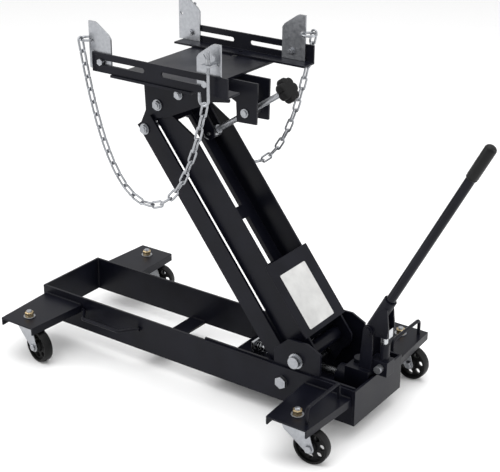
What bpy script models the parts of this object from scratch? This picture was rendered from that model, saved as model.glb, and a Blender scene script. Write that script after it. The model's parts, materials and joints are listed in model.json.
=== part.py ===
"""A low-profile transmission jack, modelled piece by piece at its real size.

Units are metres and +Z is up. The pump and its handle are at +X, the nose of the frame is at -X, and the
operator's left hand is at -Y. Inside this file every frame piece is drawn from the front of the frame
(x = 0), the middle of its width (y = 0) and the floor (z = 0). The last step moves the whole assembly so
that the world origin lies on the floor under the middle of its bounding box.

The lift arm and the link bars are drawn lying level, pointing to -X, and the pivot empties then raise them
to their working angle, so each moving piece hangs from an empty that lies on its joint's axis.
"""

import math

import bmesh
import bpy
from mathutils import Matrix, Vector

# --- clearances -----------------------------------------------------------------------------------------
GAP = 0.0003            # between faces that touch on the real jack
RUNNING = 0.0004        # all round a pin or shaft that turns in a hole

# --- base frame -----------------------------------------------------------------------------------------
FRAME_LENGTH = 0.850
FRAME_WIDTH = 0.192
RAIL_HEIGHT = 0.080
FRAME_LIFT = 0.036      # underside of the frame above the floor
PLATE = 0.005           # thickness of the frame's steel
CROSS_BAR_X = 0.292
CROSS_BAR_WIDTH = 0.043
FLOOR_PLATE_X = 0.470

# --- wings that carry the casters -----------------------------------------------------------------------
TRACK = 0.418           # from caster stem to caster stem across the jack
FRONT_STEM_X = 0.063
REAR_STEM_X = 0.786
WING_OVERHANG = 0.041   # wing beyond the caster stem
WING_ROOT = 0.112       # length of the wing along the rail
WING_TIP = 0.094        # length of the wing at its outer end
WING_DROP = 0.018       # wing top below the rail top
WING_DEPTH = 0.018      # height of the wing's channel
HANDLE_ROD_RADIUS = 0.004                       # carry handles' bent rod

# --- casters --------------------------------------------------------------------------------------------
WHEEL_RADIUS = 0.038
WHEEL_WIDTH = 0.022
WHEEL_HOLES = 7
WHEEL_HOLE_RADIUS = 0.0066
WHEEL_HOLE_RING = 0.0235
CASTER_TRAIL = 0.034
FORK_PLATE = 0.0025
STEM_RADIUS = 0.006
AXLE_RADIUS = 0.005
CASTER_TURN = {
    "front_left": math.radians(-12),
    "front_right": math.radians(14),
    "rear_left": math.radians(5),
    "rear_right": math.radians(-3),
}

# --- lift arm and its parallel links --------------------------------------------------------------------
PIVOT_X = 0.705
PIVOT_Z = 0.138
PIVOT_RADIUS = 0.012
ARM_LENGTH = 0.600      # main pivot to head pivot
ARM_WIDTH = 0.132
ARM_UNDER = 0.028       # from the pivot line down to the web side
ARM_OVER = 0.038        # from the pivot line up to the open side
ARM_PLATE = 0.005
ARM_ANGLE = math.radians(52.4)
WINDOW_HALF_WIDTH = 0.031
WINDOWS = ((0.040, 0.262), (0.291, 0.400))      # measured from the head pivot towards the main pivot
COVER_WIDTH = 0.152
COVER_SPAN = (0.030, 0.199)                     # measured from the main pivot
COVER_PLATE = 0.003
LINK_OFFSET = Vector((-0.030, 0.0, -0.056))     # from the arm's pivots to the link's pivots
LINK_BAR_WIDTH = (0.012, 0.032)                 # below and above the line through its bolts
LINK_PLATE = 0.006
LINK_INNER_Y = 0.073
LINK_BOLT_RADIUS = 0.008

# --- hydraulic ram --------------------------------------------------------------------------------------
RAM_DROP = 0.054        # ram axis below the main pivot
CRANK_LEAN = math.radians(32.4)                 # crank behind straight down, with the arm lowered
CRANK_REACH = 0.082
CRANK_WIDTH = 0.048
CROSS_PIN_RADIUS = 0.008
CRANK_SLOT_CLEARANCE = 0.0023
RAM_ROD_RADIUS = 0.010
RAM_ROD_LENGTH = 0.100
RAM_CYLINDER_RADIUS = 0.024
RAM_CYLINDER_FRONT = 0.757
GUIDE_X = 0.545
GUIDE_ROD_RADIUS = 0.005
GUIDE_ROD_END = 0.736
SPRING_RADIUS = 0.0095
SPRING_WIRE = 0.0014
SPRING_TURNS = 9

# --- pump and handle ------------------------------------------------------------------------------------
PUMP_X = (0.786, 0.841)
PUMP_HALF_WIDTH = 0.032
PUMP_TOP = 0.127
FULCRUM = Vector((0.829, 0.0, 0.214))
PISTON_X = 0.860
PISTON_RADIUS = 0.006
HANDLE_ANGLE = math.radians(62.6)
HANDLE_REACH = 0.490    # fulcrum to the tip of the grip
HANDLE_RADIUS = 0.010
HANDLE_START = 0.026    # fulcrum to the foot of the loose handle
SOCKET_WALL = 0.0035
SOCKET_LENGTH = 0.082
GRIP_LENGTH = 0.078
GRIP_WALL = 0.0022

# --- head bracket, saddle and tilt screw, measured from the head pivot ----------------------------------
BRACKET_PLATE = 0.005
TILT_PIN = Vector((0.056, 0.0, 0.032))
TILT_PIN_RADIUS = 0.006
SCREW_ANCHOR = Vector((0.090, 0.0, -0.060))
TRUNNION = Vector((0.187, 0.0, 0.005))
SCREW_RADIUS = 0.006
SCREW_TAIL = 0.024
SCREW_LENGTH = 0.228    # anchor to the knob's outer face
KNOB_RADIUS = 0.022
KNOB_LOBES = 8
KNOB_LOBE_RADIUS = 0.006
KNOB_THICKNESS = 0.020
LUG_INNER_Y = 0.019
LUG_PLATE = 0.005
TRUNNION_PLAY = 0.0016  # round the screw, because the screw's swing isn't quite in proportion to the tilt
SADDLE_LEVEL = 0.070    # underside of the saddle plate above the head pivot
SADDLE_X = (-0.051, 0.153)
SADDLE_WIDTH = 0.316
RAIL_X = (-0.101, 0.238)
RAIL_SPREAD = 0.308     # over the outer faces of the two saddle rails
ANGLE_LEG = 0.040
ANGLE_STEEL = 0.004
SLOTS = ((-0.086, 0.035), (0.077, 0.192))
SLOT_HALF_HEIGHT = 0.005
CLAMP_RADIUS = 0.0042
FRONT_CLAMP_X = -0.078
REAR_CLAMP_X = 0.186
CLAMP_LEVEL = 0.022     # clamp bolts above the saddle plate's top

# --- fingers, hooks and chains --------------------------------------------------------------------------
FINGER_WIDTH = 0.057
FINGER_TOP_WIDTH = 0.016
FINGER_HEIGHT = 0.097
FINGER_SHOULDER = 0.066
FINGER_STEEL = 0.004
HOOK_OUTWARD = 0.013    # hook bolt and chain outside the saddle rail
HOOK_RADIUS = 0.0032
RING_RADIUS = 0.0155
RING_WIRE = 0.0026
CHAIN_RADIUS = 0.0085
CHAIN_DEPTH = 0.255     # lowest point of the chain below the saddle plate's top

RAIL_TOP = FRAME_LIFT + RAIL_HEIGHT
WING_TOP = RAIL_TOP - WING_DROP
HALF = FRAME_WIDTH / 2
INNER_PLATE_Y = HALF - PLATE - GAP
RAM_Z = PIVOT_Z - RAM_DROP
CROSS_PIN_X = PIVOT_X - RAM_DROP * math.tan(ARM_ANGLE - CRANK_LEAN)
SADDLE_TOP = SADDLE_LEVEL + PLATE
ANGLE_Y = RAIL_SPREAD / 2
CLAMP_Z = SADDLE_TOP + CLAMP_LEVEL

PARTS = None
HELPERS = None


# --- scene and materials --------------------------------------------------------------------------------
def clear_scene():
    for item in list(bpy.data.objects):
        bpy.data.objects.remove(item, do_unlink=True)


def new_collection(name):
    collection = bpy.data.collections.new(name)
    bpy.context.scene.collection.children.link(collection)
    return collection


def new_material(name, colour, roughness, metallic):
    material = bpy.data.materials.new(name)
    material.use_nodes = True
    shader = material.node_tree.nodes["Principled BSDF"]
    shader.inputs["Base Color"].default_value = (*colour, 1.0)
    shader.inputs["Roughness"].default_value = roughness
    shader.inputs["Metallic"].default_value = metallic
    material.diffuse_color = (*colour, 1.0)
    return material


FINISHES = {
    "black_enamel": ((0.020, 0.021, 0.027), 0.38, 0.0),
    "zinc": ((0.62, 0.64, 0.66), 0.32, 1.0),
    "bright_steel": ((0.75, 0.76, 0.78), 0.18, 1.0),
    "wheel_plastic": ((0.025, 0.025, 0.026), 0.55, 0.0),
    "knob_plastic": ((0.018, 0.018, 0.018), 0.60, 0.0),
    "grip_rubber": ((0.022, 0.022, 0.024), 0.75, 0.0),
}


# --- making solids --------------------------------------------------------------------------------------
def add_object(name, mesh, collection):
    piece = bpy.data.objects.new(name, mesh)
    collection.objects.link(piece)
    return piece


def mesh_of(build):
    """A mesh made by the bmesh function build(bm)."""
    mesh = bpy.data.meshes.new("solid")
    bm = bmesh.new()
    build(bm)
    bmesh.ops.recalc_face_normals(bm, faces=bm.faces)
    bm.to_mesh(mesh)
    bm.free()
    return mesh


def mesh_of_curve(curve):
    """The closed mesh of a curve, with its caps welded on."""
    holder = add_object("curve", curve, HELPERS)
    bpy.context.view_layer.update()
    graph = bpy.context.evaluated_depsgraph_get()
    mesh = bpy.data.meshes.new_from_object(holder.evaluated_get(graph))
    bpy.data.objects.remove(holder, do_unlink=True)
    bpy.data.curves.remove(curve)
    bm = bmesh.new()
    bm.from_mesh(mesh)
    bmesh.ops.remove_doubles(bm, verts=bm.verts, dist=0.00001)
    bmesh.ops.recalc_face_normals(bm, faces=bm.faces)
    bm.to_mesh(mesh)
    bm.free()
    return mesh


def box(low, high):
    def build(bm):
        bmesh.ops.create_cube(bm, size=1.0)
        size = [b - a for a, b in zip(low, high)]
        bmesh.ops.scale(bm, vec=size, verts=bm.verts)
        bmesh.ops.translate(bm, vec=[(a + b) / 2 for a, b in zip(low, high)], verts=bm.verts)

    return mesh_of(build)


def rod(start, end, radius, sides=16, end_radius=None):
    """A round bar, or a cone when end_radius is given, between two points."""
    start, end = Vector(start), Vector(end)
    turn = (end - start).to_track_quat("Z", "Y").to_matrix().to_4x4()

    def build(bm):
        bmesh.ops.create_cone(
            bm,
            cap_ends=True,
            segments=sides,
            radius1=radius,
            radius2=radius if end_radius is None else end_radius,
            depth=(end - start).length,
            matrix=Matrix.Translation((start + end) / 2) @ turn,
        )

    return mesh_of(build)


def circle(centre, radius, sides=16):
    steps = [2 * math.pi * i / sides for i in range(sides)]
    return [(centre[0] + radius * math.cos(t), centre[1] + radius * math.sin(t)) for t in steps]


def arc(centre, radius, start_degrees, end_degrees, steps=6):
    angles = [
        math.radians(start_degrees + (end_degrees - start_degrees) * i / steps) for i in range(steps + 1)
    ]
    return [(centre[0] + radius * math.cos(t), centre[1] + radius * math.sin(t)) for t in angles]


def slot(low, high, level, half_height):
    """A slot with round ends along the outline's first axis."""
    ends = ((low + half_height, 90), (high - half_height, 270))
    return [point for x, turn in ends for point in arc((x, level), half_height, turn, turn + 180)]


PLANES = {
    "XY": Matrix.Identity(4),
    "XZ": Matrix.Rotation(math.radians(90), 4, "X"),
    "YZ": Matrix.Rotation(math.radians(90), 4, "Z") @ Matrix.Rotation(math.radians(90), 4, "X"),
}
THIRD_AXIS = {"XY": 2, "XZ": 1, "YZ": 0}


def prism(plane, outline, low, high, holes=()):
    """A flat plate: an outline in one plane, from low to high along the third axis."""
    curve = bpy.data.curves.new("outline", "CURVE")
    curve.dimensions = "2D"
    curve.fill_mode = "BOTH"
    curve.extrude = (high - low) / 2
    for points in (outline, *holes):
        spline = curve.splines.new("POLY")
        spline.points.add(len(points) - 1)
        for target, (u, v) in zip(spline.points, points):
            target.co = (u, v, 0.0, 1.0)
        spline.use_cyclic_u = True
    mesh = mesh_of_curve(curve)
    shift = [0.0, 0.0, 0.0]
    shift[THIRD_AXIS[plane]] = (low + high) / 2
    mesh.transform(Matrix.Translation(shift) @ PLANES[plane])
    return mesh


def wire(points, radius, closed=False, resolution=2):
    """A bent round wire or rod through the points."""
    curve = bpy.data.curves.new("wire", "CURVE")
    curve.dimensions = "3D"
    curve.bevel_depth = radius
    curve.bevel_resolution = resolution
    curve.use_fill_caps = True
    spline = curve.splines.new("POLY")
    spline.points.add(len(points) - 1)
    for target, point in zip(spline.points, points):
        target.co = (*point, 1.0)
    spline.use_cyclic_u = closed
    return mesh_of_curve(curve)


def rounded_path(corners, radius, steps=4):
    """The corners joined by straight runs, with each inner corner rounded."""
    corners = [Vector(c) for c in corners]
    path = [corners[0]]
    for before, corner, after in zip(corners, corners[1:], corners[2:]):
        into = (before - corner).normalized()
        out = (after - corner).normalized()
        half = into.angle(out) / 2
        back = radius / math.tan(half)
        centre = corner + (into + out).normalized() * (radius / math.sin(half))
        first = corner + into * back - centre
        last = corner + out * back - centre
        for i in range(steps + 1):
            share = i / steps
            swing = first.angle(last)
            a = math.sin((1 - share) * swing) / math.sin(swing)
            b = math.sin(share * swing) / math.sin(swing)
            path.append(centre + first * a + last * b)
    path.append(corners[-1])
    return path


def turned(profile, steps=20):
    """A solid turned round the Z axis from (radius, height) points that run from the top down."""
    mesh = bpy.data.meshes.new("profile")
    points = [(radius, 0.0, height) for radius, height in profile]
    closed = profile[0][0] > 0
    edges = [(i, i + 1) for i in range(len(points) - 1)]
    if closed:
        edges.append((len(points) - 1, 0))
    mesh.from_pydata(points, edges, [])
    holder = add_object("profile", mesh, HELPERS)
    screw = holder.modifiers.new("turn", "SCREW")
    screw.steps = steps
    screw.render_steps = steps
    screw.use_merge_vertices = True
    screw.merge_threshold = 0.00001
    bpy.context.view_layer.update()
    graph = bpy.context.evaluated_depsgraph_get()
    result = bpy.data.meshes.new_from_object(holder.evaluated_get(graph))
    bpy.data.objects.remove(holder, do_unlink=True)
    bm = bmesh.new()
    bm.from_mesh(result)
    bmesh.ops.remove_doubles(bm, verts=bm.verts, dist=0.00001)
    bmesh.ops.recalc_face_normals(bm, faces=bm.faces)
    bm.to_mesh(result)
    bm.free()
    return result


def moved(mesh, matrix):
    copy = mesh.copy()
    copy.transform(matrix)
    if matrix.determinant() < 0:
        copy.flip_normals()
    return copy


def across(mesh):
    """The same solid on the other side of the jack."""
    return moved(mesh, Matrix.Scale(-1, 4, (0, 1, 0)))


def group(*meshes):
    """One mesh that holds several separate solids."""
    bm = bmesh.new()
    for mesh in meshes:
        bm.from_mesh(mesh)
    joined = bpy.data.meshes.new("group")
    bm.to_mesh(joined)
    bm.free()
    return joined


# --- putting pieces into the assembly -------------------------------------------------------------------
def pivot(name, parent, place, angle=0.0, axis=1):
    """An empty on a joint's axis. It turns by the angle round X, Y or Z (axis 0, 1 or 2)."""
    empty = bpy.data.objects.new(name, None)
    empty.empty_display_size = 0.03
    PARTS.objects.link(empty)
    empty.parent = parent
    empty.location = place
    empty.rotation_euler[axis] = angle
    return empty


def use(piece, operation, meshes):
    for mesh in meshes:
        helper = add_object(piece.name + "_" + operation.lower(), mesh, HELPERS)
        helper.hide_render = True
        helper.display_type = "WIRE"
        helper.parent = piece.parent
        modifier = piece.modifiers.new(operation.title(), "BOOLEAN")
        modifier.operation = operation
        modifier.object = helper


def piece(name, parent, finish, mesh, weld=(), cut=(), smooth=True):
    """One named piece under its pivot, with what is welded on and what is cut out."""
    part = add_object(name, mesh, PARTS)
    part.parent = parent
    use(part, "UNION", weld)
    use(part, "DIFFERENCE", cut)
    part.data.materials.clear()
    part.data.materials.append(bpy.data.materials[finish])
    if smooth:
        part.data.shade_smooth()
        part.data.set_sharp_from_angle(angle=math.radians(30))
    return part


def hex_bolt(axis_point, head_side, under_head, length, radius, nut_at=None):
    """A hexagon bolt along Y: its head on the side head_side (-1 or 1) of under_head, and its nut."""
    x, z = axis_point
    head = rod((x, under_head, z), (x, under_head + head_side * radius * 1.1, z), radius * 1.75, 6)
    shank_end = under_head - head_side * length
    shank = rod((x, under_head + head_side * 0.001, z), (x, shank_end, z), radius, 16)
    nut = []
    if nut_at is not None:
        nut = [rod((x, nut_at, z), (x, nut_at - head_side * radius * 1.1, z), radius * 1.75, 6)]
    return head, [shank, *nut]


# --- base frame -----------------------------------------------------------------------------------------
def build_frame(root):
    low, high = FRAME_LIFT, RAIL_TOP
    link_x, link_z = PIVOT_X + LINK_OFFSET.x, PIVOT_Z + LINK_OFFSET.z
    rail_ends = (PLATE + GAP, FRAME_LENGTH - PLATE - GAP)
    rail = [(rail_ends[0], low), (rail_ends[1], low), (rail_ends[1], high), (rail_ends[0], high)]
    link_hole = circle((link_x, link_z), LINK_BOLT_RADIUS + RUNNING)
    left_rail = prism("XZ", rail, -HALF, -HALF + PLATE, [link_hole])
    piece("side_rail_left", root, "black_enamel", left_rail)
    piece("side_rail_right", root, "black_enamel", across(left_rail))
    piece("front_plate", root, "black_enamel", box((0, -HALF, low), (PLATE, HALF, high)))
    rear = box((FRAME_LENGTH - PLATE, -HALF, low), (FRAME_LENGTH, HALF, high))
    piece("rear_plate", root, "black_enamel", rear)
    inside = HALF - PLATE - GAP
    bar = box((CROSS_BAR_X, -inside, low), (CROSS_BAR_X + CROSS_BAR_WIDTH, inside, low + PLATE))
    piece("cross_bar", root, "black_enamel", bar)
    floor_end = FRAME_LENGTH - PLATE - GAP
    floor = box((FLOOR_PLATE_X, -inside, low), (floor_end, inside, low + PLATE))
    piece("pump_floor_plate", root, "black_enamel", floor)
    build_pivot_plates(root, link_hole)


def build_pivot_plates(root, link_hole):
    """Inner side plates that stand on the floor plate and rise to carry the main pivot."""
    foot = FRAME_LIFT + PLATE + GAP
    shoulder = RAIL_TOP + 0.003
    front, rear = FLOOR_PLATE_X, FRAME_LENGTH - PLATE - GAP
    ears = [
        (PIVOT_X + 0.058, shoulder),
        (PIVOT_X + 0.058, PIVOT_Z + 0.030),
        (PIVOT_X + 0.026, PIVOT_Z + 0.045),
        (PIVOT_X - 0.021, PIVOT_Z + 0.044),
        (PIVOT_X - 0.055, PIVOT_Z + 0.012),
        (PIVOT_X - 0.055, shoulder),
    ]
    outline = [(front, foot), (rear, foot), (rear, shoulder), *ears, (front, shoulder)]
    holes = [link_hole, circle((PIVOT_X, PIVOT_Z), PIVOT_RADIUS + RUNNING, 20)]
    plate = prism("XZ", outline, -INNER_PLATE_Y, -INNER_PLATE_Y + PLATE, holes)
    piece("pivot_plate_left", root, "black_enamel", plate)
    piece("pivot_plate_right", root, "black_enamel", across(plate))


def wing_outline(stem_x, root_y, tip_y, inset=0.0, spare=0.0):
    half_root = WING_ROOT / 2 - inset
    half_tip = WING_TIP / 2 - inset
    return [
        (stem_x - half_root, root_y + spare),
        (stem_x - half_tip, tip_y - spare),
        (stem_x + half_tip, tip_y - spare),
        (stem_x + half_root, root_y + spare),
    ]


def build_wings(root):
    """Inverted channels, open at their outer ends. The rear ones carry a welded hoop of bent rod."""
    root_y = -HALF - GAP
    tip_y = -TRACK / 2 - WING_OVERHANG
    for end, stem_x in (("front", FRONT_STEM_X), ("rear", REAR_STEM_X)):
        stem_hole = circle((stem_x, -TRACK / 2), STEM_RADIUS + RUNNING, 16)
        skin = wing_outline(stem_x, root_y, tip_y)
        channel = prism("XY", skin, WING_TOP - WING_DEPTH, WING_TOP, [stem_hole])
        hollow_outline = wing_outline(stem_x, root_y, tip_y, PLATE * 0.8, 0.01)
        hollow = prism("XY", hollow_outline, WING_TOP - WING_DEPTH - 0.01, WING_TOP - PLATE * 0.8)
        hoops = [wing_hoop()] if end == "rear" else []
        right, right_hollow = across(channel), across(hollow)
        piece(f"wing_{end}_right", root, "black_enamel", right, weld=hoops, cut=[right_hollow])
        piece(
            f"wing_{end}_left", root, "black_enamel", channel, weld=[across(h) for h in hoops], cut=[hollow]
        )


def wing_hoop():
    """The bent-rod handle that stands on a rear wing."""
    x, foot, top = REAR_STEM_X + 0.034, WING_TOP - 0.003, WING_TOP + 0.036
    inner, outer = HALF + 0.014, TRACK / 2 + 0.020
    hoop = [(x, inner, foot), (x, inner, top), (x, outer, top), (x, outer, foot)]
    return wire(rounded_path(hoop, 0.010), HANDLE_ROD_RADIUS)


def build_handles(root):
    """Bent-rod carry handles, one on each side rail."""
    rod_radius = HANDLE_ROD_RADIUS
    face = HALF + GAP + rod_radius
    level = RAIL_TOP - 0.028
    stand_off = HALF + 0.039
    ends = ((0.1235, 0.131, 0.156), (0.2945, 0.287, 0.262))
    inward, outward = [[(a, face, level), (b, face, level), (c, stand_off, level)] for a, b, c in ends]
    side = inward + outward[::-1]
    side_rod = wire(rounded_path(side, 0.012), rod_radius)
    piece("carry_handle_right", root, "black_enamel", side_rod)
    piece("carry_handle_left", root, "black_enamel", across(side_rod))


def build_pivot_hardware(root):
    outer = INNER_PLATE_Y + GAP
    head = rod((PIVOT_X, outer, PIVOT_Z), (PIVOT_X, outer + 0.003, PIVOT_Z), 0.017, 16)
    boss = rod((PIVOT_X, outer + 0.002, PIVOT_Z), (PIVOT_X, outer + 0.013, PIVOT_Z), 0.013, 16)
    shaft = rod((PIVOT_X, -outer - 0.012, PIVOT_Z), (PIVOT_X, outer + 0.012, PIVOT_Z), PIVOT_RADIUS, 20)
    ends = [head, boss, across(head), across(boss)]
    piece("main_pivot_shaft", root, "zinc", shaft, weld=ends)
    centre = (PIVOT_X + LINK_OFFSET.x, PIVOT_Z + LINK_OFFSET.z)
    inner_face = LINK_INNER_Y - GAP
    length = HALF + GAP - inner_face + 0.003
    head, rest = hex_bolt(centre, 1, HALF + GAP, length, LINK_BOLT_RADIUS)
    collar = rod(
        (centre[0], inner_face, centre[1]), (centre[0], inner_face - 0.0035, centre[1]), 0.013, 20
    )
    spacer = rod(
        (centre[0], LINK_INNER_Y + LINK_PLATE + GAP, centre[1]),
        (centre[0], INNER_PLATE_Y - PLATE - GAP, centre[1]),
        0.013,
        20,
    )
    extras = [*rest, collar, spacer]
    piece("link_lower_bolt_right", root, "zinc", head, weld=extras)
    piece("link_lower_bolt_left", root, "zinc", across(head), weld=[across(extra) for extra in extras])


def add_union(meshes):
    """The Boolean union of several overlapping solids, as one mesh."""
    base = add_object("union", meshes[0], HELPERS)
    helpers = []
    for mesh in meshes[1:]:
        helper = add_object("operand", mesh, HELPERS)
        helpers.append(helper)
        modifier = base.modifiers.new("Union", "BOOLEAN")
        modifier.operation = "UNION"
        modifier.object = helper
    bpy.context.view_layer.update()
    graph = bpy.context.evaluated_depsgraph_get()
    result = bpy.data.meshes.new_from_object(base.evaluated_get(graph))
    for item in (base, *helpers):
        bpy.data.objects.remove(item, do_unlink=True)
    return result


# --- casters --------------------------------------------------------------------------------------------
def fork_meshes():
    """A pressed fork with its stem, top nut and axle bolt, drawn with its wheel trailing to +X."""
    side_y = WHEEL_WIDTH / 2 + 0.0025
    crown = WING_TOP - PLATE * 0.8 - 0.008
    eye = (CASTER_TRAIL, WHEEL_RADIUS)
    outline = [
        (-0.017, crown),
        (-0.019, crown - 0.012),
        *arc(eye, 0.0095, 215, 375, 6),
        (0.024, crown - 0.010),
        (0.018, crown),
    ]
    near = prism("XZ", outline, -side_y - FORK_PLATE, -side_y)
    top = prism("XY", circle((0, 0), 0.0205, 16), crown - FORK_PLATE, crown)
    bridge = box((-0.016, -side_y - 0.001, crown - FORK_PLATE), (0.017, side_y + 0.001, crown))
    cup = rod((0, 0, crown - 0.001), (0, 0, crown + 0.0077), 0.019, 16, 0.016)
    stem = rod((0, 0, crown), (0, 0, WING_TOP + 0.0165), STEM_RADIUS, 16)
    washer = rod((0, 0, WING_TOP + GAP), (0, 0, WING_TOP + 0.0023), 0.013, 16)
    nut = rod((0, 0, WING_TOP + 0.0018), (0, 0, WING_TOP + 0.0120), 0.0105, 6)
    reach = side_y + FORK_PLATE + 0.003
    axle = rod((eye[0], -reach, eye[1]), (eye[0], reach, eye[1]), AXLE_RADIUS, 16)
    head_end = reach + 0.003
    heads = [
        rod((eye[0], side * (reach - 0.0035), eye[1]), (eye[0], side * head_end, eye[1]), 0.008, 6)
        for side in (-1, 1)
    ]
    return near, [across(near), top, bridge, cup, stem, washer, nut, axle, *heads]


def wheel_mesh():
    """A one-piece wheel, turned round Z and then laid so that its axle runs along Y."""
    half, bore = WHEEL_WIDTH / 2, AXLE_RADIUS + RUNNING
    web, rim, hub = 0.0045, WHEEL_RADIUS - 0.0065, 0.0125
    edge = WHEEL_RADIUS - 0.0016
    upper = [
        (bore, half),
        (hub, half),
        (hub + 0.0015, web),
        (rim, web),
        (rim + 0.0015, half),
        (edge, half),
        (WHEEL_RADIUS, half - 0.0022),
    ]
    profile = upper + [(radius, -height) for radius, height in reversed(upper)]
    return moved(turned(profile, 20), Matrix.Rotation(math.radians(90), 4, "X"))


def wheel_cutters():
    cutters = []
    for i in range(WHEEL_HOLES):
        turn = 2 * math.pi * (i + 0.35) / WHEEL_HOLES
        x, z = WHEEL_HOLE_RING * math.cos(turn), WHEEL_HOLE_RING * math.sin(turn)
        cutters.append(rod((x, -0.008, z), (x, 0.008, z), WHEEL_HOLE_RADIUS, 8))
    return cutters


def build_casters(root):
    fork, fork_extras = fork_meshes()
    whole_fork = add_union([fork, *fork_extras])
    wheel = wheel_mesh()
    holes = group(*wheel_cutters())
    for end, stem_x in (("front", FRONT_STEM_X), ("rear", REAR_STEM_X)):
        for side, sign in (("left", -1), ("right", 1)):
            corner = f"{end}_{side}"
            place = Vector((stem_x, sign * TRACK / 2, 0.0))
            swivel = pivot(f"joint_swivel_{corner}", root, place, CASTER_TURN[corner], 2)
            piece(f"caster_fork_{corner}", swivel, "zinc", whole_fork.copy())
            axle = pivot(f"joint_wheel_{corner}", swivel, (CASTER_TRAIL, 0.0, WHEEL_RADIUS))
            wheel_piece = piece(f"caster_wheel_{corner}", axle, "wheel_plastic", wheel.copy())
            use(wheel_piece, "DIFFERENCE", [holes.copy()])


# --- lift arm and links ---------------------------------------------------------------------------------
def crank_outline():
    """The crank's corners behind and under the main pivot, with the arm level."""
    along = Vector((math.sin(CRANK_LEAN), -math.cos(CRANK_LEAN)))
    side = Vector((math.cos(CRANK_LEAN), math.sin(CRANK_LEAN)))
    half = CRANK_WIDTH / 2
    slot_half = CROSS_PIN_RADIUS + CRANK_SLOT_CLEARANCE
    slot_top = RAM_DROP - slot_half - 0.001
    corners = [
        (0.024, half + 0.006),
        (CRANK_REACH - 0.008, half),
        (CRANK_REACH, half - 0.006),
        (CRANK_REACH, slot_half),
        (slot_top, slot_half),
        (slot_top, -slot_half),
        (CRANK_REACH, -slot_half),
        (CRANK_REACH, 0.006 - half),
        (CRANK_REACH - 0.008, -half),
        (0.034, -half - 0.002),
    ]
    return [tuple(along * u + side * w) for u, w in corners]


def build_arm(lift):
    head_x = -ARM_LENGTH
    outline = [
        (head_x + 0.010, -ARM_UNDER),
        *arc((head_x, -0.002), 0.0235, 235, 95, 7),
        (head_x + 0.030, 0.013),
        (head_x + 0.096, ARM_OVER),
        (0.018, ARM_OVER),
        *arc((0.004, 0.006), 0.034, 70, 0, 4),
        *crank_outline(),
        (-0.050, -ARM_UNDER),
    ]
    half = ARM_WIDTH / 2
    holes = [
        circle((0, 0), PIVOT_RADIUS + RUNNING, 20),
        circle((head_x, 0), TILT_PIN_RADIUS + RUNNING, 16),
    ]
    side = prism("XZ", outline, -half, -half + ARM_PLATE, holes)
    web_y = half - ARM_PLATE + 0.001
    web_x = (head_x + 0.012, -0.034)
    web = [(web_x[0], -web_y), (web_x[1], -web_y), (web_x[1], web_y), (web_x[0], web_y)]
    windows = [
        [
            (head_x + a, -WINDOW_HALF_WIDTH),
            (head_x + b, -WINDOW_HALF_WIDTH),
            (head_x + b, WINDOW_HALF_WIDTH),
            (head_x + a, WINDOW_HALF_WIDTH),
        ]
        for a, b in WINDOWS
    ]
    web_plate = prism("XY", web, -ARM_UNDER, -ARM_UNDER + ARM_PLATE, windows)
    piece("lift_arm", lift, "black_enamel", side, weld=[across(side), web_plate])
    cover_low = (-COVER_SPAN[1], -COVER_WIDTH / 2, ARM_OVER + GAP)
    cover_high = (-COVER_SPAN[0], COVER_WIDTH / 2, ARM_OVER + GAP + COVER_PLATE)
    piece("arm_cover_plate", lift, "black_enamel", box(cover_low, cover_high))


def build_links(links):
    """Two flat bars that run beside the arm and keep the head level."""
    under, over = LINK_BAR_WIDTH
    outline = [
        (-ARM_LENGTH - 0.017, -under),
        (0.006, -under),
        *arc((0.004, 0.004), 0.0165, -75, 75, 5),
        (-0.012, over),
        (-ARM_LENGTH - 0.017, over),
    ]
    holes = [
        circle((0, 0), LINK_BOLT_RADIUS + RUNNING),
        circle((-ARM_LENGTH, 0), TILT_PIN_RADIUS + RUNNING, 16),
    ]
    bar = prism("XZ", outline, LINK_INNER_Y, LINK_INNER_Y + LINK_PLATE, holes)
    piece("link_bar_right", links, "black_enamel", bar)
    piece("link_bar_left", links, "black_enamel", across(bar))


# --- head bracket ---------------------------------------------------------------------------------------
def build_head(head):
    inner = ARM_WIDTH / 2 + 0.001
    outer = inner + BRACKET_PLATE
    foot = LINK_OFFSET
    cheek = [
        (-0.035, 0.045),
        (-0.032, -0.016),
        (foot.x - 0.015, foot.z + 0.012),
        *arc((foot.x, foot.z), 0.014, 165, 345, 6),
        (-0.004, -0.030),
        (0.032, -0.019),
        (0.143, 0.032),
        (0.182, 0.038),
        (0.182, 0.044),
        (0.100, 0.054),
        (0.010, 0.054),
    ]
    bolt_hole = TILT_PIN_RADIUS + RUNNING
    holes = [
        circle((0, 0), bolt_hole, 16),
        circle((foot.x, foot.z), bolt_hole, 16),
        circle((TILT_PIN.x, TILT_PIN.z), bolt_hole, 16),
    ]
    side = prism("XZ", cheek, inner, outer, holes)
    nose = box((-0.0345, -inner - 0.001, -0.010), (-0.0295, inner + 0.001, 0.0452))
    roof = box((-0.034, -inner - 0.001, 0.0402), (0.036, inner + 0.001, 0.0452))
    anchor = SCREW_ANCHOR
    lug = [
        (0.004, 0.0445),
        (0.0355, 0.0445),
        (anchor.x + 0.0125, anchor.z + 0.011),
        *arc((anchor.x, anchor.z), 0.013, 15, -150, 6),
        (0.052, -0.030),
    ]
    pin_hole = [circle((anchor.x, anchor.z), 0.004 + RUNNING, 14)]
    hanger = prism("XZ", lug, 0.0095, 0.0145, pin_hole)
    extras = [across(side), nose, roof, hanger, across(hanger)]
    piece("head_bracket", head, "black_enamel", side, weld=extras)
    build_head_hardware(head, outer)


def build_head_hardware(head, outer):
    """The cross shafts of the arm and of the links, and the pin that the saddle tilts on."""
    cross_shaft("head_pivot_shaft", head, Vector((0, 0, 0)), outer + GAP, 0.011)
    cross_shaft("upper_link_shaft", head, LINK_OFFSET, LINK_INNER_Y + LINK_PLATE + GAP, 0.011)
    cross_shaft("tilt_pin", head, TILT_PIN, outer + GAP, 0.0095)


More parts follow.
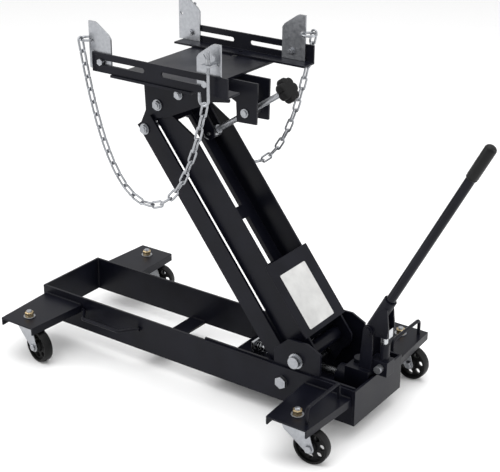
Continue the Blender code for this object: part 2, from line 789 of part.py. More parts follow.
def cross_shaft(name, parent, centre, reach, cap_radius):
    """A pin across the jack, with a washer and a hexagon at each end."""
    x, z = centre.x, centre.z
    shank = rod((x, -reach - 0.008, z), (x, reach + 0.008, z), TILT_PIN_RADIUS, 16)
    ends = []
    for side in (-1, 1):
        face, cap = side * (reach + 0.0015), side * (reach + 0.0065)
        ends.append(rod((x, side * reach, z), (x, side * (reach + 0.0020), z), cap_radius + 0.001, 16))
        ends.append(rod((x, face, z), (x, cap, z), cap_radius - 0.001, 6))
    piece(name, parent, "zinc", shank, weld=ends)


# --- saddle ---------------------------------------------------------------------------------------------
def build_saddle(tilt):
    """The saddle plate, drawn from the head pivot, with its hinge ears and the lugs of the tilt screw."""
    low, high = SADDLE_LEVEL, SADDLE_TOP
    half = SADDLE_WIDTH / 2
    front, rear = SADDLE_X
    sheet = [(front, -half), (rear, -half), (rear, half), (front, half)]
    rail_bolt_x = (RAIL_X[0] + RAIL_X[1]) / 2 - 0.004
    slots = []
    for side in (-1, 1):
        middle = ANGLE_Y - ANGLE_LEG / 2
        row = slot(middle - 0.032, middle + 0.014, 0, 0.0052)
        slots.append([(rail_bolt_x + v, side * u) for u, v in row])
    plate = prism("XY", sheet, low, high, slots)
    x, z = TILT_PIN.x, TILT_PIN.z
    ear = [
        (x - 0.024, low + 0.001),
        (x - 0.013, z + 0.002),
        *arc((x, z), 0.0125, 190, 350, 6),
        (x + 0.013, z + 0.002),
        (x + 0.024, low + 0.001),
    ]
    ears = prism("XZ", ear, 0.050, 0.056, [circle((x, z), TILT_PIN_RADIUS + RUNNING, 16)])
    lug_y = (LUG_INNER_Y, LUG_INNER_Y + LUG_PLATE)
    trunnion_hole = [circle((TRUNNION.x, TRUNNION.z), 0.006 + RUNNING, 16)]
    lug = [
        (rear - 0.045, low + 0.001),
        (rear - 0.040, low - 0.020),
        (TRUNNION.x - 0.022, low - 0.045),
        (TRUNNION.x - 0.020, TRUNNION.z - 0.022),
        (TRUNNION.x + 0.028, TRUNNION.z - 0.020),
        (TRUNNION.x + 0.030, high - 0.004),
        (rear - 0.001, high - 0.004),
        (rear - 0.001, low + 0.001),
    ]
    lugs = prism("XZ", lug, *lug_y, trunnion_hole)
    extras = [ears, across(ears), lugs, across(lugs)]
    piece("saddle_plate", tilt, "black_enamel", plate, weld=extras)


def angle_meshes():
    """The +Y slotted angle, and what is cut out of it. Its flat leg lies on the saddle plate."""
    foot = SADDLE_TOP + GAP
    front, rear = RAIL_X
    section = [
        (ANGLE_Y - ANGLE_LEG, foot),
        (ANGLE_Y, foot),
        (ANGLE_Y, foot + ANGLE_LEG),
        (ANGLE_Y - ANGLE_STEEL, foot + ANGLE_LEG),
        (ANGLE_Y - ANGLE_STEEL, foot + ANGLE_STEEL),
        (ANGLE_Y - ANGLE_LEG, foot + ANGLE_STEEL),
    ]
    cutters = [
        prism("XZ", slot(a, b, CLAMP_Z, SLOT_HALF_HEIGHT), ANGLE_Y - 0.012, ANGLE_Y + 0.01) for a, b in SLOTS
    ]
    bolt_x = (front + rear) / 2 - 0.004
    bolt_y = ANGLE_Y - ANGLE_LEG / 2
    cutters.append(rod((bolt_x, bolt_y, foot - 0.01), (bolt_x, bolt_y, foot + 0.02), 0.0048, 14))
    return prism("YZ", section, front, rear), cutters


def finger_meshes():
    """A front finger for the +Y rail, drawn from its clamp bolt, with its straight edge at the front."""
    foot = SADDLE_TOP + GAP + ANGLE_STEEL + GAP - CLAMP_Z
    front = -0.033
    rear = front + FINGER_WIDTH
    top = foot + FINGER_HEIGHT
    outline = [
        (front, foot),
        (rear, foot),
        (rear, foot + FINGER_SHOULDER),
        (rear - 0.006, foot + FINGER_SHOULDER + 0.008),
        (front + FINGER_TOP_WIDTH + 0.006, top - 0.003),
        (front + FINGER_TOP_WIDTH, top),
        (front, top),
    ]
    outer = ANGLE_Y - ANGLE_STEEL - GAP
    ring_hole = circle((front + 0.0075, foot + 0.058), 0.0040, 12)
    plate = prism("XZ", outline, outer - FINGER_STEEL, outer, [ring_hole])
    bolt = hex_bolt((0, 0), 1, ANGLE_Y + GAP, 0.0155, CLAMP_RADIUS, outer - FINGER_STEEL + 0.0003)
    return plate, [bolt[0], *bolt[1]], (front, foot)


def hook_tab(front):
    """The ledge that the hook bolt hangs from. It reaches out over the rail's top edge."""
    level = SADDLE_TOP + GAP + ANGLE_LEG + 0.022 - CLAMP_Z
    low = (front + 0.006, ANGLE_Y - ANGLE_STEEL - FINGER_STEEL, level)
    high = (front + 0.027, ANGLE_Y + HOOK_OUTWARD + 0.010, level + FINGER_STEEL)
    return box(low, high), (front + 0.0165, level + FINGER_STEEL)


def hook_mesh(x, top):
    """A hook bolt with its wing nut: a threaded shank, bent at the foot into a J that opens to +X."""
    y = ANGLE_Y + HOOK_OUTWARD
    bend = 0.0105
    foot = SADDLE_TOP - CLAMP_Z - 0.006
    bow = [
        (x + bend - bend * math.cos(t), y, foot - bend * math.sin(t))
        for t in [math.pi * i / 8 for i in range(9)]
    ]
    path = [(x, y, top + 0.026), *bow, (x + 2 * bend, y, foot + 0.014)]
    shank = wire(path, HOOK_RADIUS, resolution=2)
    nut = rod((x, y, top + GAP), (x, y, top + 0.010), 0.0062, 12, 0.005)
    wing = [
        (-0.004, 0.001),
        (0.004, 0.001),
        (0.014, 0.008),
        (0.015, 0.016),
        (0.011, 0.018),
        (0.004, 0.009),
        (-0.004, 0.009),
        (-0.011, 0.018),
        (-0.015, 0.016),
        (-0.014, 0.008),
    ]
    wings = prism("XZ", [(x + u, top + GAP + v) for u, v in wing], y - 0.0014, y + 0.0014)
    return add_union([shank, nut, wings])


def ring_mesh(front, foot):
    """The link that ties a chain to a finger. It lies flat through the hole near the finger's front edge."""
    wire_y = ANGLE_Y - ANGLE_STEEL - GAP - FINGER_STEEL / 2
    centre = (front + 0.0075 - RING_RADIUS, wire_y, foot + 0.058)
    steps = [2 * math.pi * i / 16 for i in range(16)]
    loop = [
        (centre[0] + RING_RADIUS * math.cos(t), centre[1] + RING_RADIUS * math.sin(t), centre[2])
        for t in steps
    ]
    return wire(loop, RING_WIRE, closed=True), centre


def catenary(start, end, lowest, count):
    """Points on the hanging curve between two ends whose lowest point is at a given height."""
    span = end.x - start.x
    rises = (start.z - lowest, end.z - lowest)

    def reach(a):
        return a * sum(math.acosh(1 + rise / a) for rise in rises)

    small, large = 0.001, 10.0
    for _ in range(60):
        middle = (small + large) / 2
        small, large = (middle, large) if reach(middle) < span else (small, middle)
    a = (small + large) / 2
    low_x = start.x + a * math.acosh(1 + rises[0] / a)
    first, last = math.sinh((start.x - low_x) / a), math.sinh((end.x - low_x) / a)
    points = []
    for i in range(count):
        share = i / (count - 1)
        u = math.asinh(first + (last - first) * share)
        y = start.y + (end.y - start.y) * share
        points.append(Vector((low_x + a * u, y, lowest + a * (math.cosh(u) - 1))))
    return points


def chain_points():
    """The +Y chain's centre line, drawn from the head pivot: from the front hook to the rear ring."""
    y = ANGLE_Y + HOOK_OUTWARD
    foot = SADDLE_TOP + 2 * GAP + ANGLE_STEEL
    hook_x = FRONT_CLAMP_X - 0.033 + 0.0165
    hook_low = SADDLE_TOP - 0.006 - 0.0105
    upright = Vector((0, 0, 0.003))
    start = Vector((hook_x + 0.0105, y, hook_low - HOOK_RADIUS - GAP)) - upright
    ring_x = REAR_CLAMP_X + 0.033 - 0.0075 + RING_RADIUS
    ring_y = ANGLE_Y + CHAIN_RADIUS + 0.002
    end = Vector((ring_x, ring_y, foot + 0.058 - RING_WIRE - GAP)) - upright
    return [start + upright, *catenary(start, end, SADDLE_TOP - CHAIN_DEPTH, 32), end + upright]


def build_saddle_top(tilt):
    """Slotted rails, their four fingers, and the two chains. The left side is the right side turned round."""
    turned_round = Matrix.Translation(((FRONT_CLAMP_X + REAR_CLAMP_X), 0, 0)) @ Matrix.Rotation(
        math.pi, 4, "Z"
    )
    plate, bolt, (front, foot) = finger_meshes()
    tab, (hook_x, hook_top) = hook_tab(front)
    hook_hole = rod(
        (hook_x, ANGLE_Y + HOOK_OUTWARD, -0.2), (hook_x, ANGLE_Y + HOOK_OUTWARD, 0.2), HOOK_RADIUS + GAP, 12
    )
    hook = hook_mesh(hook_x, hook_top)
    ring, _ = ring_mesh(front, foot)
    chain = wire(chain_points(), CHAIN_RADIUS, resolution=2)
    to_left = Matrix.Rotation(math.pi, 4, "Z")
    flip_x = Matrix.Scale(-1, 4, (1, 0, 0))
    for side in ("right", "left"):
        right = side == "right"
        slide = pivot(f"joint_{side}_rail_slide", tilt, (0, 0, 0))
        angle, cutters = angle_meshes()
        if not right:
            angle, cutters = across(angle), [across(cutter) for cutter in cutters]
        piece(f"saddle_rail_{side}", slide, "black_enamel", angle, cut=cutters)
        for end in ("front", "rear"):
            clamp_x = FRONT_CLAMP_X if end == "front" else REAR_CLAMP_X
            joint = pivot(f"joint_{end}_{side}_finger_slide", slide, (clamp_x, 0, CLAMP_Z))
            hooked = (end == "front") == right
            turn = {
                ("front", "right"): Matrix.Identity(4),
                ("rear", "left"): to_left,
                ("rear", "right"): flip_x,
                ("front", "left"): flip_x @ to_left,
            }[(end, side)]
            extras = [*bolt, tab] if hooked else bolt
            finger = piece(
                f"finger_{end}_{side}",
                joint,
                "zinc",
                moved(plate, turn),
                weld=[moved(extra, turn) for extra in extras],
                cut=[moved(hook_hole, turn)] if hooked else [],
            )
            if hooked:
                piece(f"chain_hook_{side}", joint, "zinc", moved(hook, turn))
            else:
                piece(f"chain_ring_{side}", joint, "zinc", moved(ring, turn))
        whole = chain if right else moved(chain, turned_round)
        piece(f"chain_{side}", slide, "zinc", whole)


# --- tilt screw -----------------------------------------------------------------------------------------
def build_tilt_screw(anchor, spin, trunnion):
    along = (TRUNNION - SCREW_ANCHOR).normalized()
    knob_foot = along * (SCREW_LENGTH - KNOB_THICKNESS)
    block = rod((0, -0.0090, 0), (0, 0.0090, 0), 0.0125, 16)
    pin = rod((0, -0.0185, 0), (0, 0.0185, 0), 0.004, 14)
    bore = rod(-along * 0.03, along * 0.03, SCREW_RADIUS + RUNNING, 16)
    piece("screw_anchor", anchor, "zinc", block, weld=[pin], cut=[bore])
    shank = rod(-along * SCREW_TAIL, knob_foot + along * 0.011, SCREW_RADIUS, 16)
    collars = [
        rod(along * (0.0125 + GAP), along * 0.0175, 0.0095, 16),
        rod(-along * (0.0125 + GAP), -along * 0.0200, 0.0095, 16),
    ]
    piece("tilt_screw", spin, "zinc", shank, weld=collars)
    piece("star_knob", spin, "knob_plastic", *knob_meshes(along, knob_foot))
    cross = rod((0, -LUG_INNER_Y + GAP, 0), (0, LUG_INNER_Y - GAP, 0), 0.0115, 16)
    reach = LUG_INNER_Y + LUG_PLATE
    axle = rod((0, -reach - 0.005, 0), (0, reach + 0.005, 0), 0.006, 16)
    caps = [
        rod((0, side * (reach + GAP), 0), (0, side * (reach + 0.0025), 0), 0.0095, 16) for side in (-1, 1)
    ]
    play = rod(-along * 0.03, along * 0.03, SCREW_RADIUS + TRUNNION_PLAY, 16)
    piece("screw_trunnion", trunnion, "zinc", cross, weld=[axle, *caps], cut=[play])


def knob_meshes(along, foot):
    """A lobed knob whose blind hole takes the end of the screw."""
    steps = KNOB_LOBES * 4
    outline = []
    for i in range(steps):
        t = 2 * math.pi * i / steps
        radius = KNOB_RADIUS + KNOB_LOBE_RADIUS * 0.75 * math.cos(KNOB_LOBES * t)
        outline.append((radius * math.cos(t), radius * math.sin(t)))
    aim = Matrix.Translation(foot) @ along.to_track_quat("Z", "Y").to_matrix().to_4x4()
    body = moved(prism("XY", outline, 0.004, KNOB_THICKNESS), aim)
    hub = moved(rod((0, 0, 0), (0, 0, 0.006), 0.0125, 16, 0.014), aim)
    hole = moved(rod((0, 0, -0.01), (0, 0, 0.0115), SCREW_RADIUS + GAP, 16), aim)
    return body, [hub], [hole]


# --- ram, pump and handle -------------------------------------------------------------------------------
def build_ram(root, ram):
    rear = FRAME_LENGTH - PLATE - GAP
    tube = rod((RAM_CYLINDER_FRONT, 0, RAM_Z), (rear, 0, RAM_Z), RAM_CYLINDER_RADIUS, 20)
    bore_end = (rear - 0.0025, 0, RAM_Z)
    bore = rod((RAM_CYLINDER_FRONT - 0.01, 0, RAM_Z), bore_end, RAM_ROD_RADIUS + RUNNING, 16)
    piece("ram_cylinder", root, "black_enamel", tube, cut=[bore])
    rod_end = (RAM_ROD_LENGTH, 0, 0)
    shank = rod((0, 0, 0), rod_end, RAM_ROD_RADIUS, 16)
    block = box((-0.014, -0.015, -0.014), (0.014, 0.015, 0.014))
    half = ARM_WIDTH / 2 + 0.0015
    cross_pin = rod((0, -half, 0), (0, half, 0), CROSS_PIN_RADIUS, 16)
    guide_bore = rod((-0.03, 0, 0), (RAM_ROD_LENGTH - 0.012, 0, 0), GUIDE_ROD_RADIUS + RUNNING, 16)
    piece("ram_rod", ram, "bright_steel", shank, weld=[block, cross_pin], cut=[guide_bore])
    foot = FRAME_LIFT + PLATE + GAP
    upright = box((GUIDE_X, -0.022, foot), (GUIDE_X + PLATE, 0.022, RAM_Z + 0.018))
    guide = rod((GUIDE_X - 0.010, 0, RAM_Z), (GUIDE_ROD_END, 0, RAM_Z), GUIDE_ROD_RADIUS, 16)
    piece("spring_guide", root, "bright_steel", upright, weld=[guide])
    start = GUIDE_X + PLATE + SPRING_WIRE + GAP
    end = CROSS_PIN_X - 0.014 - SPRING_WIRE - GAP
    count = SPRING_TURNS * 8
    helix = []
    for i in range(count + 1):
        t = 2 * math.pi * i / 8
        x = start + (end - start) * i / count
        helix.append((x, SPRING_RADIUS * math.cos(t), RAM_Z + SPRING_RADIUS * math.sin(t)))
    piece("ram_return_spring", root, "bright_steel", wire(helix, SPRING_WIRE, resolution=1))


def build_pump(root, piston, valve):
    front, rear = PUMP_X
    half = PUMP_HALF_WIDTH
    floor = FRAME_LIFT + PLATE + GAP
    block = box((front, -half, floor), (rear, half, PUMP_TOP))
    overhang = box((rear - 0.006, -0.015, RAIL_TOP + 0.0035), (PISTON_X + 0.015, 0.015, 0.152))
    barrel = rod((PISTON_X, 0, 0.149), (PISTON_X, 0, 0.186), 0.0100, 18)
    cap = rod((front + 0.017, 0.004, PUMP_TOP - 0.001), (front + 0.017, 0.004, PUMP_TOP + 0.009), 0.0145, 16)
    ear = [
        (FULCRUM.x - 0.017, PUMP_TOP - 0.002),
        (FULCRUM.x - 0.011, FULCRUM.z - 0.004),
        *reversed(arc((FULCRUM.x, FULCRUM.z), 0.011, 10, 170, 6)),
        (rear + 0.001, 0.147),
        (rear - 0.001, PUMP_TOP - 0.002),
    ]
    ears = prism("XZ", ear, 0.0160, 0.0200)
    pin = rod((FULCRUM.x, -0.0180, FULCRUM.z), (FULCRUM.x, 0.0180, FULCRUM.z), 0.0055, 16)
    pin_head = rod((FULCRUM.x, 0.0190, FULCRUM.z), (FULCRUM.x, 0.0235, FULCRUM.z), 0.0075, 18)
    cradle = rod((front - 0.01, 0, RAM_Z), (rear + 0.01, 0, RAM_Z), RAM_CYLINDER_RADIUS + 2 * GAP, 22)
    well = rod((PISTON_X, 0, 0.1445), (PISTON_X, 0, 0.200), PISTON_RADIUS + RUNNING, 16)
    valve_hole = rod((PISTON_X, -0.030, 0.138), (PISTON_X, -0.006, 0.138), 0.0045 + RUNNING, 16)
    piece(
        "pump_body",
        root,
        "black_enamel",
        block,
        weld=[overhang, barrel, cap, ears, across(ears), pin, pin_head, across(pin_head)],
        cut=[cradle, well, valve_hole],
    )
    stem = rod((PISTON_X, 0, 0.1625), (PISTON_X, 0, FULCRUM.z), PISTON_RADIUS, 16)
    block = [(-0.0125, -0.010), (0.012, -0.010), (0.012, 0.010), (-0.003, 0.010), (-0.0125, 0.002)]
    head = prism("XZ", [(PISTON_X + u, FULCRUM.z + v) for u, v in block], -0.008, 0.008)
    window = prism("XZ", slot(PISTON_X - 0.0085, PISTON_X + 0.0075, FULCRUM.z, 0.0056), -0.02, 0.02)
    piece("pump_piston", piston, "bright_steel", stem, weld=[head], cut=[window])
    knob = rod((0, -0.0155, 0), (0, -0.0290, 0), 0.0085, 10)
    spindle = rod((0, -0.0070, 0), (0, -0.0160, 0), 0.0045, 16)
    piece("release_valve", valve, "zinc", knob, weld=[spindle])


def build_handle(socket, draw):
    aim = Matrix.Rotation(math.pi / 2 - HANDLE_ANGLE, 4, "Y")
    outer = HANDLE_RADIUS + RUNNING + SOCKET_WALL
    tube = moved(rod((0, 0, -0.004), (0, 0, SOCKET_LENGTH), outer, 16), aim)
    bore = moved(rod((0, 0, HANDLE_START - GAP), (0, 0, 0.2), HANDLE_RADIUS + RUNNING, 16), aim)
    knuckle = rod((0, -0.0153, 0), (0, 0.0153, 0), 0.0126, 18)
    lever = PISTON_X - FULCRUM.x
    gusset = [
        (0.002, -0.008),
        (lever + 0.010, -0.009),
        (lever + 0.013, 0.010),
        (lever + 0.008, 0.056),
        (lever - 0.002, 0.058),
        (0.012, 0.040),
    ]
    plate = prism("XZ", gusset, 0.0105, 0.0143)
    pin = rod((lever, -0.0150, 0), (lever, 0.0150, 0), 0.0040, 14)
    hole = rod((0, -0.03, 0), (0, 0.03, 0), 0.0055 + RUNNING, 16)
    piece(
        "handle_socket",
        socket,
        "black_enamel",
        tube,
        weld=[knuckle, plate, across(plate), pin],
        cut=[bore, hole],
    )
    top = HANDLE_REACH - 0.002
    shaft = moved(rod((0, 0, HANDLE_START), (0, 0, top - 0.004), HANDLE_RADIUS, 16), aim)
    piece("handle_tube", draw, "black_enamel", shaft)
    foot = HANDLE_REACH - GRIP_LENGTH
    thick = HANDLE_RADIUS + GRIP_WALL
    profile = [
        (0.0, HANDLE_REACH),
        (thick - 0.005, HANDLE_REACH),
        (thick - 0.001, HANDLE_REACH - 0.003),
        (thick, HANDLE_REACH - 0.008),
        (thick, foot + 0.006),
        (HANDLE_RADIUS + GAP + 0.0006, foot),
        (HANDLE_RADIUS + GAP, foot),
        (HANDLE_RADIUS + GAP, top - 0.004 + GAP),
        (0.0, top - 0.004 + GAP),
    ]
    piece("handle_grip", draw, "grip_rubber", moved(turned(profile, 16), aim))


# --- assembly -------------------------------------------------------------------------------------------
def centre_on_floor(root):
    """Moves the root so that the box of all pieces stands on the origin."""
    bpy.context.view_layer.update()
    graph = bpy.context.evaluated_depsgraph_get()
    corners = []
    for item in PARTS.objects:
        if item.type == "MESH":
            mesh = item.evaluated_get(graph).to_mesh()
            corners += [item.matrix_world @ vertex.co for vertex in mesh.vertices]
            item.evaluated_get(graph).to_mesh_clear()
    for axis in (0, 1):
        values = [corner[axis] for corner in corners]
        root.location[axis] -= (min(values) + max(values)) / 2
    root.location.z -= min(corner.z for corner in corners)
    bpy.context.view_layer.update()


def main():
    global PARTS, HELPERS
    clear_scene()
    PARTS = new_collection("transmission_jack")
    HELPERS = new_collection("cutters")
    for name, (colour, roughness, metallic) in FINISHES.items():
        new_material(name, colour, roughness, metallic)

    root = pivot("jack_root", None, (0, 0, 0))
    build_frame(root)
    build_wings(root)
    build_handles(root)
    build_pivot_hardware(root)
    build_casters(root)

    lift = pivot("joint_lift", root, (PIVOT_X, 0, PIVOT_Z), ARM_ANGLE)
    build_arm(lift)
    links = pivot("joint_links", root, Vector((PIVOT_X, 0, PIVOT_Z)) + LINK_OFFSET, ARM_ANGLE)
    build_links(links)

    head = pivot("joint_head_level", lift, (-ARM_LENGTH, 0, 0), -ARM_ANGLE)
    build_head(head)
    hinge = pivot("joint_saddle_tilt", head, TILT_PIN)
    tilt = pivot("saddle_frame", hinge, -TILT_PIN)
    build_saddle(tilt)
    build_saddle_top(tilt)
    anchor = pivot("joint_screw_swing", head, SCREW_ANCHOR)
    spin = pivot("joint_knob_turn", anchor, (0, 0, 0))
    trunnion = pivot("joint_trunnion_swing", tilt, TRUNNION)
    build_tilt_screw(anchor, spin, trunnion)

    ram = pivot("joint_ram_slide", root, (CROSS_PIN_X, 0, RAM_Z))
    build_ram(root, ram)
    piston = pivot("joint_pump_piston", root, (0, 0, 0))
    valve = pivot("joint_release_valve", root, (PISTON_X, 0, 0.138))
    build_pump(root, piston, valve)
    socket = pivot("joint_pump_handle", root, FULCRUM)
    draw = pivot("joint_handle_draw", socket, (0, 0, 0))
    build_handle(socket, draw)
    centre_on_floor(root)


main()
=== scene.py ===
# %% [markdown]
# # A low-profile transmission jack
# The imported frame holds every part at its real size. This script gives the parts their finishes, and
# makes again the pieces whose roundness shows: wheels, caster forks, chains, knob, spring, handle and
# grip. It adds screw threads, a blank label and weld beads. Everything is in metres, with +X towards
# the pump and +Z up.

import json
import math

import bmesh
import bpy
from mathutils import Matrix, Vector


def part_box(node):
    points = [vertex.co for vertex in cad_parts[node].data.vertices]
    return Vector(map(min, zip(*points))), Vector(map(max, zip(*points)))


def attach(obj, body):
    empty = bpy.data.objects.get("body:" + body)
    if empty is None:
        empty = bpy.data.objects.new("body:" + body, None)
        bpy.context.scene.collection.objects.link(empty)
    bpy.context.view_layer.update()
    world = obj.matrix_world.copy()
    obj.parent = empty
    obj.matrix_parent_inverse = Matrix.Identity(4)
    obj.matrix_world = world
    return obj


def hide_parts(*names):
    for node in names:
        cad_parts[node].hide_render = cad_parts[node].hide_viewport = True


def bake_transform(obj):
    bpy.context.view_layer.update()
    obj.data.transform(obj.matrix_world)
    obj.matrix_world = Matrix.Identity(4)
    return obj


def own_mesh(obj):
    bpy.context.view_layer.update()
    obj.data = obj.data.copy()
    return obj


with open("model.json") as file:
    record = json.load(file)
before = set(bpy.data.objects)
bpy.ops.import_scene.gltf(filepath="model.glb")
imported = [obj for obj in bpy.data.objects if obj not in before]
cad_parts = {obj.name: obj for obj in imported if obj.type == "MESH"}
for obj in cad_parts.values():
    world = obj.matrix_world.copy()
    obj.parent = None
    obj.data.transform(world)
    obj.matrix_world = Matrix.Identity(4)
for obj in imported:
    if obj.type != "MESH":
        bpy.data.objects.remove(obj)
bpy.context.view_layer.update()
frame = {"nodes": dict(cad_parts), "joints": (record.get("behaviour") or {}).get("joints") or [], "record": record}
nodes = frame["nodes"]
joints = {joint["name"]: joint for joint in frame["joints"]}
CORNERS = ("front_left", "front_right", "rear_left", "rear_right")

# %% [markdown]
# ## Shared node groups
# Two effects come back in most finishes. The first softens every hard edge, as a thick paint film or a
# tumbled plating does: the Bevel node turns the shading normal near an edge, so no mesh has to change.
# The second is a fine, uneven grain that drives colour and roughness. Both are node groups with named
# inputs.


# %% Node helpers
def new_group(name, inputs, outputs):
    """An empty shader group, with its input and output nodes."""
    group = bpy.data.node_groups.new(name, "ShaderNodeTree")
    for label, kind, value in inputs:
        socket = group.interface.new_socket(label, in_out="INPUT", socket_type=kind)
        if value is not None:
            socket.default_value = value
    for label, kind in outputs:
        group.interface.new_socket(label, in_out="OUTPUT", socket_type=kind)
    entry = group.nodes.new("NodeGroupInput")
    leave = group.nodes.new("NodeGroupOutput")
    return group, entry, leave


def add(tree, kind, **settings):
    """A new node of this kind with these settings."""
    node = tree.nodes.new(kind)
    for key, value in settings.items():
        setattr(node, key, value)
    return node


def remap(tree, value, low, high, to_low, to_high):
    """Spreads a value from one range over another."""
    node = add(tree, "ShaderNodeMapRange")
    tree.links.new(value, node.inputs["Value"])
    ends = {"From Min": low, "From Max": high, "To Min": to_low, "To Max": to_high}
    for label, number in ends.items():
        node.inputs[label].default_value = number
    return node.outputs["Result"]


# %% Soft edges
def build_soft_edges():
    """Normal: shading normal with rounded edges. Edge: 1 on an edge, 0 on a flat."""
    group, entry, leave = new_group(
        "soft_edges",
        [("Radius", "NodeSocketFloat", 0.001)],
        [("Normal", "NodeSocketVector"), ("Edge", "NodeSocketFloat")],
    )
    bevel = add(group, "ShaderNodeBevel", samples=4)
    group.links.new(entry.outputs["Radius"], bevel.inputs["Radius"])
    surface = add(group, "ShaderNodeNewGeometry")
    dot = add(group, "ShaderNodeVectorMath", operation="DOT_PRODUCT")
    group.links.new(bevel.outputs["Normal"], dot.inputs[0])
    group.links.new(surface.outputs["Normal"], dot.inputs[1])
    group.links.new(bevel.outputs["Normal"], leave.inputs["Normal"])
    group.links.new(remap(group, dot.outputs["Value"], 0.99, 0.80, 0.0, 1.0), leave.inputs["Edge"])
    return group


# %% Fine grain
DUST_SCALE = 260.0


def build_grain():
    """Fine: small bumps. Cloud: broad, slow variation. Speck: sparse bright dust."""
    group, entry, leave = new_group(
        "fine_grain",
        [("Grain Scale", "NodeSocketFloat", 900.0), ("Cloud Scale", "NodeSocketFloat", 14.0)],
        [("Fine", "NodeSocketFloat"), ("Cloud", "NodeSocketFloat"), ("Speck", "NodeSocketFloat")],
    )
    place = add(group, "ShaderNodeTexCoord")
    for label, detail, out in (("Grain Scale", 2.0, "Fine"), ("Cloud Scale", 5.0, "Cloud")):
        noise = add(group, "ShaderNodeTexNoise")
        noise.inputs["Detail"].default_value = detail
        group.links.new(place.outputs["Object"], noise.inputs["Vector"])
        group.links.new(entry.outputs[label], noise.inputs["Scale"])
        group.links.new(noise.outputs["Fac"], leave.inputs[out])
    dust = add(group, "ShaderNodeTexNoise")
    dust.inputs["Scale"].default_value = DUST_SCALE
    dust.inputs["Detail"].default_value = 3.0
    group.links.new(place.outputs["Object"], dust.inputs["Vector"])
    group.links.new(remap(group, dust.outputs["Fac"], 0.66, 0.76, 0.0, 1.0), leave.inputs["Speck"])
    return group


soft_edges = build_soft_edges()
fine_grain = build_grain()
print("node groups:", soft_edges.name, "and", fine_grain.name)

# %% [markdown]
# ## Finishes
# Every finish is a Principled shader fed by the same two groups. Powder coat is nearly black with a
# trace of blue, glossy, and faintly rippled like orange peel. Zinc plating is a pale metal whose
# brightness wanders. Moulded plastic is matt with a fine sandy grain.


# %% Finish builder
# The Mix node keeps a set of sockets for each type, so its colour sockets are told apart by number.
MIX_FACTOR, MIX_FIRST, MIX_SECOND, MIX_RESULT = 0, 6, 7, 2
RIPPLE_DEPTH = 0.0004


def sheen_and_dust_colour(colour):
    """The paler colour painted on edges as a highlight, and on dust specks."""
    return (*(min(1.0, channel * 2.2 + 0.02) for channel in colour), 1.0)


def finish(
    name,
    dark,
    light,
    metallic,
    rough,
    ripple,
    grain,
    radius=0.0011,
    lift=0.0,
    dust=0.0,
    cloud=14.0,
    gloss=0.5,
):
    """dark and light: the two colours that the slow cloud mixes. rough: the range of roughness.
    ripple and grain: how strong and how fine the small bumps are. radius: how soft an edge is.
    lift: how much paler edges are painted, as a painted highlight. dust: how much paler dust specks are.
    cloud: how fine the slow cloud is."""
    material = bpy.data.materials.new(name)
    material.use_nodes = True
    tree = material.node_tree
    shader = tree.nodes["Principled BSDF"]
    shader.inputs["Metallic"].default_value = metallic
    shader.inputs["Specular IOR Level"].default_value = gloss
    edges = add(tree, "ShaderNodeGroup", node_tree=soft_edges)
    edges.inputs["Radius"].default_value = radius
    texture = add(tree, "ShaderNodeGroup", node_tree=fine_grain)
    texture.inputs["Grain Scale"].default_value = grain
    texture.inputs["Cloud Scale"].default_value = cloud
    colour = add(tree, "ShaderNodeMix", data_type="RGBA")
    colour.inputs[MIX_FIRST].default_value = (*dark, 1.0)
    colour.inputs[MIX_SECOND].default_value = (*light, 1.0)
    blotches = remap(tree, texture.outputs["Cloud"], 0.35, 0.68, 0.0, 1.0)
    tree.links.new(blotches, colour.inputs[MIX_FACTOR])
    # Edges are painted paler as a painted highlight, and dust specks are painted paler as real dust.
    painted_sheen_and_dust = add(tree, "ShaderNodeMix", data_type="RGBA")
    painted_sheen_and_dust.inputs[MIX_SECOND].default_value = sheen_and_dust_colour(light)
    pale = add(tree, "ShaderNodeMath", operation="MAXIMUM")
    tree.links.new(remap(tree, edges.outputs["Edge"], 0.0, 1.0, 0.0, lift), pale.inputs[0])
    tree.links.new(remap(tree, texture.outputs["Speck"], 0.0, 1.0, 0.0, dust), pale.inputs[1])
    tree.links.new(pale.outputs["Value"], painted_sheen_and_dust.inputs[MIX_FACTOR])
    tree.links.new(colour.outputs[MIX_RESULT], painted_sheen_and_dust.inputs[MIX_FIRST])
    tree.links.new(painted_sheen_and_dust.outputs[MIX_RESULT], shader.inputs["Base Color"])
    roughness = remap(tree, texture.outputs["Cloud"], 0.3, 0.7, rough[0], rough[1])
    tree.links.new(roughness, shader.inputs["Roughness"])
    bump = add(tree, "ShaderNodeBump")
    bump.inputs["Strength"].default_value = ripple
    bump.inputs["Distance"].default_value = RIPPLE_DEPTH
    tree.links.new(texture.outputs["Fine"], bump.inputs["Height"])
    tree.links.new(edges.outputs["Normal"], bump.inputs["Normal"])
    tree.links.new(bump.outputs["Normal"], shader.inputs["Normal"])
    return material


